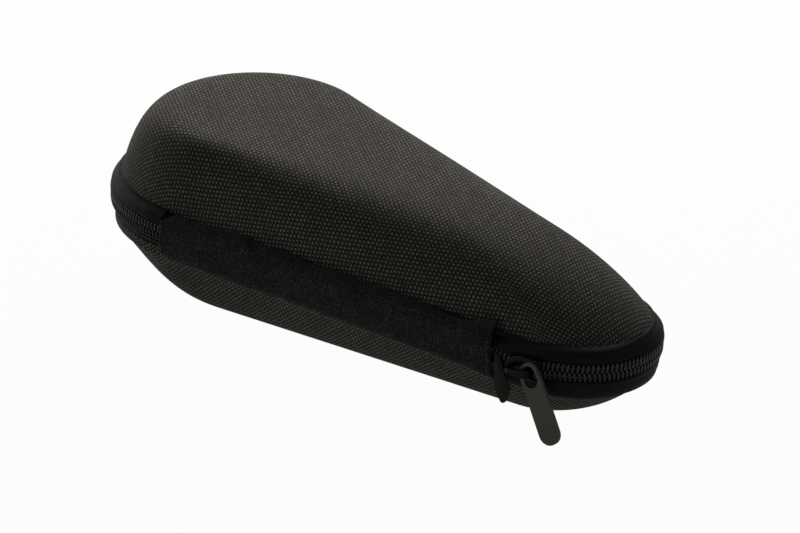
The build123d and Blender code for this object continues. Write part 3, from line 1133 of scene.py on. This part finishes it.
@dataclass(frozen=True)
class RimSet:
    """Everything sewn along one half's rim: tape with its roll, spiral, cord, binding, stitches."""

    shell: Shell
    pitch: float = 1.41          # of the spiral
    wire: float = 0.36           # its wire's radius
    swell: float = 0.16          # how much thicker its heads are
    upright: float = 0.6         # how much of a turn's advance its front legs leave to the back
    middle: float = 1.29         # height of its middle over the zip's plane
    reach: float = 1.11          # from there to its heads
    depth: float = 0.62          # half its depth, between the wire's middles
    shift: float = 0.02          # how far it lies in from the middle of the zip's thickness
    parted: float = 0.75         # how far it is lifted beside the slider
    yarn: float = 0.30           # the filler cord's radius
    twist: float = 0.03          # how far that swells and shrinks with the cord's twist

    @property
    def side(self) -> Side:
        """Which half this is."""
        return self.shell.side

    def sewn(self, piece: Piece, material: Finish, slot: str, part: str) -> None:
        """Dress a piece that moves with this half and stands for one of its CAD nodes."""
        dress(piece, material, slot, self.side.body, f"{self.side.shell}_{part}")

    def band(self, material: Finish) -> None:
        """The zip tape: flat behind the spiral, then rolled over the shell's edge."""
        lid, form = self.side is Side.LID, BAND_FORMS[self.side]
        behind = [(self.shell.inset, RIM_GAP), (TAPE_BACK, RIM_GAP), (TAPE_BACK, ZIP_FACE[1])]
        corners = [ZIP_FACE, ZIP_FACE, *TAPE_ROLLS[self.side], *np.repeat(behind, 2, axis=0)]
        profile = smooth_loop(corners)
        profile[:, 1] *= self.side.value
        run = np.linspace(-RIM.side, AROUND - RIM.side, 400)
        loop = np.vstack((profile, profile[:1]))
        out = np.clip((np.abs(loop[:, 1]) - 3.3) / 1.5, 0, 1) * (loop[:, 0] < 3.3)
        puckers = np.sin(run * 2 * math.pi / 3.9 + 2.2 * ripple(run, 3.0)) * at_ends(run)
        wobble = out[:, None] * (0.07 * ripple(run, form.seed) + 0.05 * puckers)
        # Known fault: this is 0.5 where the ring starts and 0 where it ends, so its ends don't meet.
        # The tape is open there, by up to 0.54 mm on the lid and 0.16 mm on the base.
        under = smooth((-STRIP_END + 3.0 - run) / 6.0) * smooth((run + RIM.side + 3.0) / 6.0)
        wobble = wobble - out[:, None] * under * form.drawn_in
        around = (run + RIM.side) % AROUND
        nose_tip = smooth((run - 20.0) / 18.0) * smooth((95.0 - run) / 25.0)
        far_tail = smooth((around - AROUND + TAIL_ARC) / 30.0)
        if lid:
            lean = 1.9 * nose_tip + 1.5 * far_tail * smooth((AROUND - around) / 35.0)
            lean = lean * (1 - loop[:, :1] * 0.24)
        else:
            far_tail = np.maximum(far_tail, smooth((6.0 - around) / 6.0))
            lean = 0.5 * nose_tip + 1.25 * far_tail
        wobble = wobble - out[:, None] * lean
        press = -self.side.value * np.clip((np.abs(loop[:, 1:]) - 4.5) / 2.0, 0, 1) * under
        rise = press * form.pressed
        if not lid:
            rise = rise + 0.18 * far_tail * (1 - under) * np.clip(np.abs(loop[:, 1:]) - 3.0, 0, None)
        piece = ribbon(f"{self.side.body}_tape", profile, run, wobble, ring=True, rise=rise,
                       sinks=True)
        self.sewn(piece, material, "satin_tape", "zipper_tape")

    def spread(self, run: Array) -> Array:
        """How far the spiral is lifted from the zip's plane beside the slider's open end."""
        return self.parted * np.clip((-6.0 - run) / 4.0, 0, 1) * (run < 0)

    def spiral(self, material: Finish) -> None:
        """The nylon spiral, its heads set between the other half's."""
        sign = self.side.value
        turns = int((ZIP_STOP - ZIP_START) / self.pitch)
        angle = np.arange(turns * 12 + 1) * (2 * math.pi / 12)
        across, deep = np.cos(angle), -np.sin(angle)
        run = ZIP_START + (angle - self.upright * across) * (self.pitch / (2 * math.pi))
        run += 0.0 if sign > 0 else self.pitch / 2
        wide = np.sign(across) * np.abs(across) ** 0.75
        height = self.middle + self.reach * wide + self.spread(run)
        inset = ZIP_THICKNESS / 2 - self.depth * np.sign(deep) * np.abs(deep) ** 0.7 + self.shift
        head = np.clip(-across, 0, 1) ** 4
        radius = self.wire * (1 + self.swell * head)
        path = settle(on_rim(run, inset, sign * height))
        piece = tube(f"{self.side.body}_coil", path, radius, 6)
        self.sewn(piece, material, "nylon_coil", "zipper_coil")

    def cord(self, material: Finish) -> None:
        """The twisted filler cord inside the spiral."""
        run = np.arange(ZIP_START, ZIP_STOP, 0.7)
        height = self.middle + 0.5 * self.spread(run)
        path = settle(on_rim(run, ZIP_THICKNESS / 2, self.side.value * height))
        radius = self.yarn + self.twist * np.sin(run * 4.1)
        piece = tube(f"{self.side.body}_coil_cord", path, radius, 8)
        self.sewn(piece, material, "thread", "coil_cord")

    def binding(self, material: Finish) -> None:
        """The ribbon folded over the shell's cut edge and up its inside."""
        inside = self.shell.inset + SKIN + CORE + CLOTH
        top = self.shell.start - 0.1
        low = RIM_GAP - CLOTH
        corners = [(2.6, low), (2.6, low), (2.6, RIM_GAP), (2.6, RIM_GAP),
                   (inside, RIM_GAP), (inside, RIM_GAP), (inside, top), (inside, top),
                   (inside + CLOTH * 0.6, top + 0.05), (inside + CLOTH, top - 0.25),
                   (inside + CLOTH, low + 0.75), (inside + CLOTH - 0.25, low + 0.2), (inside, low)]
        profile = smooth_loop(corners, 0.5)
        profile[:, 1] *= self.side.value
        run = np.linspace(-RIM.side, AROUND - RIM.side, 320)
        piece = ribbon(f"{self.side.body}_binding", profile, run, ring=True)
        self.sewn(piece, material, "binding_ribbon", "rim_binding")

    def stitches(self, material: Finish) -> None:
        """The lockstitch through binding, shell and tape."""
        height = self.side.value * (RIM_GAP - CLOTH)
        piece = seam(f"{self.side.body}_seam_stitches", -RIM.side, AROUND - RIM.side, 5.0, height,
                     (0.0, -self.side.value))
        self.sewn(piece, material, "thread", "seam_thread")

    def build(self, satin: Finish, nylon: Finish, thread: Finish,
              ribbon_cloth: Finish, cord: Finish) -> None:
        """Make the whole rim."""
        self.band(satin)
        self.spiral(nylon)
        self.cord(cord)
        self.binding(ribbon_cloth)
        self.stitches(thread)


def seam(name: str, begin: float, end: float, inset: float, height: float,
         lift: tuple[float, float], stitch: float = 3.1) -> Piece:
    """A row of stitches along the rim.

    Args:
        name: The piece's name.
        begin: Where it begins along the rim.
        end: Where it ends.
        inset: The cloth's inset.
        height: The cloth's height.
        lift: Which way the cloth faces, as inset and height.
        stitch: Length of one stitch.

    Returns:
        The piece.
    """
    count = int((end - begin) / stitch)
    t = np.linspace(0, 1, 7)
    run = begin + (np.arange(count)[:, None] + 0.04 + 0.92 * t) * ((end - begin) / count)
    rise = 0.27 * np.sin(math.pi * t) ** 0.5 - 0.05
    path = on_rim(run, inset + lift[0] * rise, height + lift[1] * rise)
    sway = np.sin(np.arange(count) * 2.4)[:, None, None] * 0.05
    path = path + sway * np.array([0.3, 0.3, 0.0])
    radius = 0.20 * (0.6 + 0.4 * np.sin(math.pi * t))
    return tube(name, path, radius, 6)


# ---------------------------------------------------------------- the cloth hinge
@dataclass(frozen=True)
class Hinge:
    """The cloth hinge along the straight side: felted strip, webbing, inner cloth and its seams."""

    upper: Shell
    lower: Shell
    fold: float = 4.0

    def bend(self, piece: Piece) -> None:
        """Bake a piece's place into its mesh; it is not bent across the zip's plane."""
        middle = on_rim(np.array(-RIM.side / 2), np.array(-0.9), np.array(0.0))
        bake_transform(piece)

    def strip(self, material: Finish) -> None:
        """The wide felted strip over the rim, with rolled edges and turned-in ends."""
        profile = smooth_loop(STRIP_SECTION, 0.4)
        inner = np.array([0.0, 0.12, 0.4, 0.8, 1.3, 1.9, 2.6, 3.4])
        run = np.concatenate((-RIM.side + inner, np.linspace(-RIM.side + 4.5, -STRIP_END - 4.5, 120),
                              -STRIP_END - inner[::-1]))
        loop = np.vstack((profile, profile[:1]))
        height, out = loop[:, 1:], loop[:, :1] < 0.0
        top, low = (np.interp(run, *np.array(edge).T) for edge in (STRIP_TOP, STRIP_LOW))
        tucked = 1 - smooth((run + 24.0) / 8.0) * (1 - smooth((loop[:, :1] + 0.2) / 3.0))
        rise = (np.clip((height - 2.7) / 3.75, 0, 1.1) * (top - 6.45) * tucked
                + np.clip((-height - 3.0) / 4.85, 0, 1.1) * (low + 7.85))
        from_tail, from_nose = run + RIM.side, -STRIP_END - run
        at_tail, at_nose = np.exp(-from_tail / 3.0), np.exp(-from_nose / 2.5)
        corner = smooth((height - 3.4) / 3.4)
        slide = (at_tail * (2.4 * corner**2 + 0.5 * smooth((-height - 4.5) / 4.0) - 0.3)
                 - at_nose * (1.1 + 0.7 * corner - 0.9 * smooth(-height / 7.0)))
        ridge = (0.22 * np.exp(-((from_tail - 0.9) / 0.8) ** 2) - 0.5 * np.exp(-from_tail / 0.25)
                 + 0.25 * np.exp(-((from_nose - 0.8) / 0.7) ** 2) - 0.5 * np.exp(-from_nose / 0.25)
                 - 0.34 * np.exp(-((from_nose - 2.5) / 0.6) ** 2))
        soft = (0.07 * ripple(run, 5.0)
                + 0.06 * np.sin(run / 5.3 + height * 0.6) * np.sin(run / 8.9 + 1.0))
        tuck = np.clip((loop[:, :1] - 0.2) / 3.4, 0, 1) * (height > 3) * self.short(run)
        wobble = out * (soft + ridge) + tuck
        piece = ribbon("hinge_felt_strip", profile, run, wobble, slide=slide, rise=rise)
        self.bend(dress(piece, material, "hinge_felt", None, "hinge_strip"))

    @staticmethod
    def short(run: Array) -> Array:
        """How far the strip's upper edge stays out of its full width, in mm."""
        return 1.7 * np.exp(-((run + 27.0) / 5.0) ** 2) + 0.5 * np.exp(-((run + 78.0) / 4.0) ** 2)

    def webbing(self, material: Finish) -> None:
        """The strong tape behind the strip."""
        half, near, far = 4.4, ZIP_THICKNESS + TAPE, ZIP_THICKNESS + 2 * TAPE
        heights = np.linspace(-half, half, 16)
        profile = np.concatenate((
            np.column_stack((np.full(16, near), heights)),
            np.column_stack((np.full(16, far), heights[::-1]))))
        run = np.linspace(-RIM.side + 8, -STRIP_END - 8, 60)
        piece = ribbon("hinge_web_tape", profile, run)
        self.bend(dress(piece, material, "webbing", None, "hinge_webbing"))

    def edges(self) -> tuple[tuple[float, float], tuple[float, float]]:
        """Inset and height of the inner cloth's two sewn edges, on the lid and on the base."""
        bound = SKIN + CORE + 2 * CLOTH
        return ((self.upper.inset + bound, self.upper.start - 0.2),
                (self.lower.inset + bound, -self.lower.start + 0.2))

    def inner_cloth(self, material: Finish) -> None:
        """The inner cloth from one lining to the other."""
        (up_in, up), (low_in, low) = self.edges()
        bend = RIM_GAP - CLOTH
        spine = np.array([(up_in, up), (up_in, bend + 0.6), (up_in - 0.05, bend), (up_in - 0.9, 2.0),
                          (low_in + 0.45, -2.0), (low_in, -bend), (low_in, -bend - 0.6), (low_in, low)])
        t = np.linspace(0, 1, len(spine))
        fine = np.linspace(0, 1, 40)
        near = np.column_stack([np.interp(fine, t, spine[:, i]) for i in (0, 1)])
        profile = np.concatenate((near, near[::-1] + (CLOTH, 0)))
        run = np.linspace(-RIM.side + 4, -STRIP_END - 4, 120)
        bulge = np.append(np.sin(np.append(fine, fine[::-1]) * math.pi), 0)
        soft = 0.10 * ripple(run, 9.0) * bulge[:, None]
        piece = ribbon("hinge_inner_cloth", profile, run, soft)
        self.bend(dress(piece, material, "lining_cloth", None, "hinge_lining"))

    def seams(self, material: Finish) -> None:
        """The stitches along the inner cloth's edges."""
        for place, name, node, inwards in zip(
            self.edges(), ("hinge_lid_stitches", "hinge_base_stitches"),
            ("hinge_upper_thread", "hinge_lower_thread"), (-0.7, 0.7),
        ):
            piece = seam(name, -RIM.side + 5, -STRIP_END - 5, place[0] + CLOTH, place[1] + inwards,
                         (1.0, 0.0))
            self.bend(dress(piece, material, "thread", None, node))

    def build(self, felt: Finish, web: Finish, lining: Finish,
              thread: Finish) -> None:
        """Make the whole hinge."""
        self.strip(felt)
        self.webbing(web)
        self.inner_cloth(lining)
        self.seams(thread)


# ---------------------------------------------------------------- slider, puller, tape end
@dataclass(frozen=True)
class Slider:
    """The parked slider with its plates, wedge, flanges and bridge, and the puller that hangs on it."""

    centre: float = 1.4
    length: float = 11.2
    plate: float = 1.0
    gap: float = 0.4
    half_width: float = 3.5
    edge: float = 0.36
    bridge_opening: float = 2.6
    bridge_crown: float = 1.2
    bridge_back: float = -4.2
    bridge_front: float = 3.9
    bridge_leg: float = 1.2
    hangs: float = 0.85
    tilt: float = 3.4
    swing: float = 31.5
    lean: float = 8.8
    puller_long: float = 23.75
    puller_wide: float = 6.5
    puller_thick: float = 1.2
    puller_sag: float = 0.65
    end_leans: float = 0.22 * math.tan(math.radians(12)) * 4.7 * 0.97

    def wall(self) -> Matrix:
        """x along the zip to the nose, y up, z out of the wall, at the slider's middle."""
        point, outward = RIM.at(station_of(np.array(-self.centre)))
        out = Vector((*outward, 0.0))
        up = Vector((0.0, 0.0, 1.0))
        along = up.cross(out)
        place = Matrix((along, up, out)).transposed().to_4x4()
        place.translation = Vector((*point, 0.0))
        return place

    def frame(self) -> Matrix:
        """The same frame, hung with the zip beside the hinge strip."""
        return (self.wall() @ Matrix.Translation((0.0, -self.hangs, 0.0))
                @ Matrix.Rotation(math.radians(self.tilt), 4, "Z"))

    def plate_outline(self) -> Array:
        """A plate's outline: pointed where the zip opens, waisted, square where it closes."""
        half, wide = self.length / 2, self.half_width
        upper = [(-half, 0.6), (-half + 1.3, wide - 1.5), (-half + 3.0, wide - 0.5), (-0.3, wide),
                 (1.6, wide - 0.25), (3.2, wide - 0.4), (half, wide - 0.15)]
        corners = upper[::-1] + [(x, -y) for x, y in upper]
        return rounded(corners, 1.1, 5)

    def body(self, material: Finish) -> None:
        """The cast body."""
        half = self.length / 2
        back = -(ZIP_THICKNESS + TAPE + self.gap)
        face = cut_blank("slider", self.plate_outline(), self.gap, self.gap + self.plate)
        inner = cut_blank("inner", self.plate_outline(), back - self.plate, back)
        wedge = cut_blank("wedge", rounded([(-half + 3.6, 0.0), (-half + 1.1, 0.9), (-half + 0.2, 0.0),
                                            (-half + 1.1, -0.9)], 0.3), back - 0.2, self.gap + 0.2)
        parts = [face, inner, wedge]
        for side in (-1, 1):
            line = [(-0.4, side * 3.3), (half - 0.1, side * 3.22), (half - 0.1, side * 2.9),
                    (-0.4, side * 2.95)]
            parts.append(cut_blank("flange", rounded(line, 0.15, 2), self.gap - 0.6, self.gap + 0.3))
        for part in parts:
            round_edges(part, self.edge if part in (face, inner) else 0.1)
        piece = join([*parts, self.bridge()])
        piece.name = piece.data.name = "slider_casting"
        put(piece, self.frame())
        soften(piece, 35)
        dress(piece, material, "slider_enamel", "slider", "slider_body")

    def bridge(self) -> Piece:
        """The arched loop on the outer plate, pointed towards the open end of the zip."""
        back, front, leg = self.bridge_back, self.bridge_front, self.bridge_leg
        roof = self.bridge_opening
        crown = roof + self.bridge_crown
        outside = rounded([(back, -0.3), (back + 0.15, crown - 1.5), (back + 1.3, crown - 0.25),
                           (-0.6, crown), (front - 1.5, crown), (front - 0.3, crown - 1.0),
                           (front, -0.3)], 1.2, 6)
        inside = rounded([(back + leg, -0.6), (back + leg, roof - 0.6), (back + leg + 0.9, roof),
                          (-0.6, roof), (front - leg - 0.6, roof), (front - leg, roof - 0.3),
                          (front - leg, -0.6)], 0.8, 6)
        arch = cut_blank("arch", outside, -0.9, 0.9, hole=inside)
        arch.data.transform(Matrix.Rotation(math.pi / 2, 4, "X"))
        for vertex in arch.data.vertices:
            x, y, z = vertex.co
            nose_ward = max(0.0, min(1.0, (x - back) / (front - back)))
            wide = 0.42 + 0.80 * nose_ward**0.6 - 0.22 * nose_ward**3
            vertex.co = (x, y * wide * 1.15, z + self.gap + self.plate)
        round_edges(arch, self.edge)
        return arch

    def puller(self, material: Finish) -> None:
        """The flat puller: a pear-shaped eye and a long tab with a round end."""
        head, drop, top_hole, low_hole = 3.0, 2.0, 2.0, 2.2
        half = self.puller_wide / 2
        below = self.puller_long - head - half
        outside = hull_line([(0.0, 0.0, head), (0.0, -drop, half), (0.0, -below, half)], 120)
        hole = hull_line([(0.0, 0.0, top_hole), (0.0, -drop, low_hole)], 120)
        piece = cut_blank("puller_plate", outside, -self.puller_thick / 2, self.puller_thick / 2,
                          hole=hole)
        round_edges(piece, 0.3)
        leg = self.bridge_front - self.bridge_leg / 2
        hang = (Matrix.Translation((leg, 0.0, self.gap + self.plate + self.bridge_opening / 2))
                @ Matrix.Rotation(math.radians(-self.lean), 4, "X")
                @ Matrix.Rotation(math.radians(self.swing), 4, "Z")
                @ Matrix.Translation((0.0, -self.puller_sag, 0.0)))
        put(piece, self.wall() @ hang)
        soften(piece, 35)
        dress(piece, material, "gunmetal", "puller", "puller_tab")

    def tape_end(self, material: Finish) -> None:
        """The lower tape's end, folded out and down beside the strip, with its crease."""
        left = self.centre - STRIP_END
        rows, columns = 26, 15
        down = np.linspace(0, 1, rows)[:, None]
        over = np.linspace(-1, 1, columns)[None, :]
        x_left = left + 0.15 + 2.0 * down + 2.3 * down**5
        x_right = left + np.interp(down, (0.0, 0.35, 0.7, 0.93, 1.0), (1.5, 4.2, 7.0, 6.8, 6.2))
        top, bottom = 0.4, -12.1
        tip = -0.45 * (1 - over**2)
        x = (x_left + x_right) / 2 + (x_right - x_left) / 2 * over
        y = top + (bottom + tip - top) * down
        crease = 0.55 * (1 - np.abs(over - 0.1)) * np.sin(math.pi * (0.15 + 0.85 * down) ** 0.8)
        z = 0.25 + self.end_leans * -y + crease * 0.9
        front = np.stack(np.broadcast_arrays(x, y, z), -1)
        rear = front - (0.0, 0.0, 0.55)
        loop = np.concatenate((front, rear[:, ::-1], front[:, :1]), 1)
        place = np.array(self.wall())
        points = loop @ place[:3, :3].T + place[:3, 3]
        flat = np.stack(np.broadcast_arrays(loop[..., 1], loop[..., 0]), -1)
        piece = lay_cloth("tape_end_fold", points, flat)
        dress(piece, material, "satin_tape", "base", "tape_end_tab")

    def build(self, enamel: Finish, gunmetal: Finish,
              satin: Finish) -> None:
        """Make the slider, its puller and the tape's end."""
        self.body(enamel)
        self.puller(gunmetal)
        self.tape_end(satin)


def hull_line(circles: Sequence[tuple[float, float, float]], count: int) -> Array:
    """The line round a row of circles that stand one under the other.

    Args:
        circles: Centre and radius of each.
        count: How many points the line has.

    Returns:
        The points, evenly turned, starting on the right.
    """
    fine = np.linspace(0, 2 * math.pi, 721)[:-1]
    way = np.stack((np.cos(fine), np.sin(fine)), -1)
    which = np.array([way @ (x, y) + radius for x, y, radius in circles]).argmax(0)
    circle = np.array(circles)[which]
    line, far = closed_line(circle[:, :2] + way * circle[:, 2:])
    even = np.linspace(0, far[-1], count + 1)[:-1]
    return np.column_stack([np.interp(even, far, line[:, i]) for i in (0, 1)])


# ---------------------------------------------------------------- the studio
@dataclass(frozen=True)
class Studio:
    """Camera, lamps, world and the white floor."""

    azimuth: float = 43.918
    elevation: float = 23.628
    distance: float = 0.917467
    target: Vector = Vector((0.006508, 0.0, 0.019266))
    lens: float = 3114.852 / 800 * 36
    room: float = 0.086
    mirrored: float = 0.3
    under_light: float = 0.25
    under_share: float = 0.5

    def camera(self) -> None:
        """Stand the camera at its place, without roll."""
        turn, rise = math.radians(self.azimuth), math.radians(self.elevation)
        flat = math.cos(rise)
        back = Vector((math.sin(turn) * flat, -math.cos(turn) * flat, math.sin(rise)))
        right = Vector((math.cos(turn), math.sin(turn), 0.0))
        data = bpy.data.cameras.new("camera")
        data.sensor_width, data.lens = 36.0, self.lens
        data.clip_start, data.clip_end = 0.01, 20.0
        camera = bpy.data.objects.new("camera", data)
        camera.matrix_world = Matrix((right, back.cross(right), back)).transposed().to_4x4()
        camera.location = self.target + back * self.distance
        bpy.context.scene.collection.objects.link(camera)
        bpy.context.scene.camera = camera

    def lamp(self, name: str, place: Vector, size: tuple[float, float], power: float) -> None:
        """Hang a soft box that faces the case.

        Args:
            name: The lamp's name.
            place: Where it hangs.
            size: Its width and height.
            power: Its power in watts.
        """
        data = bpy.data.lights.new(name, "AREA")
        data.shape, data.size, data.size_y, data.energy = "RECTANGLE", *size, power
        lamp = bpy.data.objects.new(name, data)
        lamp.location = place
        lamp.rotation_euler = (Vector((0, 0, 0.02)) - place).to_track_quat("-Z", "Y").to_euler()
        bpy.context.scene.collection.objects.link(lamp)

    def world(self) -> None:
        """A dim room that the camera sees as white."""
        desk = Desk("room", world=True)
        dim = desk.node("ShaderNodeBackground", {}, {0: (0.96, 0.98, 1.0, 1.0), 1: self.room})
        white = desk.node("ShaderNodeBackground", {}, {0: (1.0, 1.0, 1.0, 1.0)})
        camera, glossy, through = desk.rays("Camera", "Glossy", "Transmission")
        seen = desk.math("MULTIPLY_ADD", glossy + through, self.mirrored, camera, clamp=True)
        bpy.context.scene.world = desk.close(desk.mix(seen, dim, white))

    def floor(self) -> None:
        """A pale floor that the camera sees as white, with the case's soft shadow on it."""
        deselect()
        bpy.ops.mesh.primitive_plane_add(size=12.0, location=(0, 0, -0.0002))
        floor = bpy.context.object
        floor.name = "floor"
        desk = Desk("floor_paper")
        grain = desk.noise(desk.place(), 0.02)
        paper = desk.node("ShaderNodeBsdfDiffuse", {}, {
            "Color": desk.blend(grain, (0.60, 0.60, 0.60), (0.64, 0.64, 0.63))})
        glow = desk.node("ShaderNodeEmission", {}, {"Strength": 1.0})
        camera, glossy, through, diffuse = desk.rays("Camera", "Glossy", "Transmission", "Diffuse")
        seen = camera * 0.97 + (glossy + through) * self.mirrored
        under = desk.node("ShaderNodeEmission", {}, {"Strength": self.under_light / self.under_share})
        table = desk.mix(diffuse * self.under_share, paper, under)
        below = desk.node("ShaderNodeNewGeometry", output="Backfacing")
        clear = desk.node("ShaderNodeBsdfTransparent")
        whole = desk.mix(below, desk.mix(seen, table, glow), clear)
        floor.data.materials.append(desk.close(whole))

    def build(self) -> None:
        """Set up the whole studio."""
        bpy.context.scene.view_settings.view_transform = "Standard"
        self.camera()
        self.world()
        self.floor()
        self.lamp("back_box", place=Vector((-0.40, 0.47, 0.455)), size=(0.5, 0.4), power=4.6)
        self.lamp("tail_box", place=Vector((-0.72, -0.05, 0.26)), size=(0.4, 0.4), power=1.1)


def main() -> None:
    """Build the case from the shells outwards, then the studio round it."""
    logging.basicConfig(level=logging.INFO, format="%(name)s: %(message)s")
    canvas, lining, foam = Canvas().material(), Lining().material(), Foam().material()
    # The lower tape is the same satin, painted lighter to stand for light bounced up from the floor.
    satin, floor_lit_satin = Satin().material(), Satin("satin_tape_floor_lit", shade(33, 33, 31)).material()
    ribbon_cloth = Satin("binding_ribbon", shade(36, 36, 37), rib=0.7, depth=0.10, roughness=0.7)
    web = Satin("webbing", shade(30, 30, 30), rib=1.2, depth=0.25, roughness=0.8)
    nylon, thread = Nylon().material(), Thread().material()
    cord = Thread("filler_cord", shade(62, 62, 62), twist=0.9).material()
    enamel = Metal("slider_enamel", shade(6, 6, 6), metallic=0.0, roughness=0.26, coat=0.10,
                   marks=0.15, specular=0.10)
    gunmetal = Metal("gunmetal", shade(82, 80, 73), metallic=0.35, roughness=0.45, coat=0.0,
                     marks=0.10, specular=0.4)
    # The tape's folded end is the same satin, painted much lighter to stand for the light that falls on
    # it.
    tape_end = Satin("tape_end", shade(50, 50, 47), depth=0.06, roughness=0.55)
    ribbon_cloth, web, enamel, gunmetal = (
        finish.material() for finish in (ribbon_cloth, web, enamel, gunmetal))

    upper = Shell(Side.LID, inset=3.7, start=6.4, back=23.6, front=94.2, tail=24.0, nose=3.7,
                  level=26.9, slope=-0.026, inset_power=0.60, height_power=1.76, fullness=0.85)
    lower = Shell(Side.BASE, inset=1.5, start=8.1, back=32.3, front=19.9, tail=26.5, nose=14.0,
                  level=-BOTTOM_DEPTH, slope=BOTTOM_RISE, inset_power=0.88, height_power=2.76)
    for shell, tape in ((upper, satin), (lower, floor_lit_satin)):
        shell.build(canvas, lining, foam)
        RimSet(shell).build(tape, nylon, thread, ribbon_cloth, cord)
    Hinge(upper, lower).build(Felt().material(), web, lining, thread)
    Slider().build(enamel, gunmetal, tape_end.material())
    Studio().build()


if __name__ == "__main__":
    main()
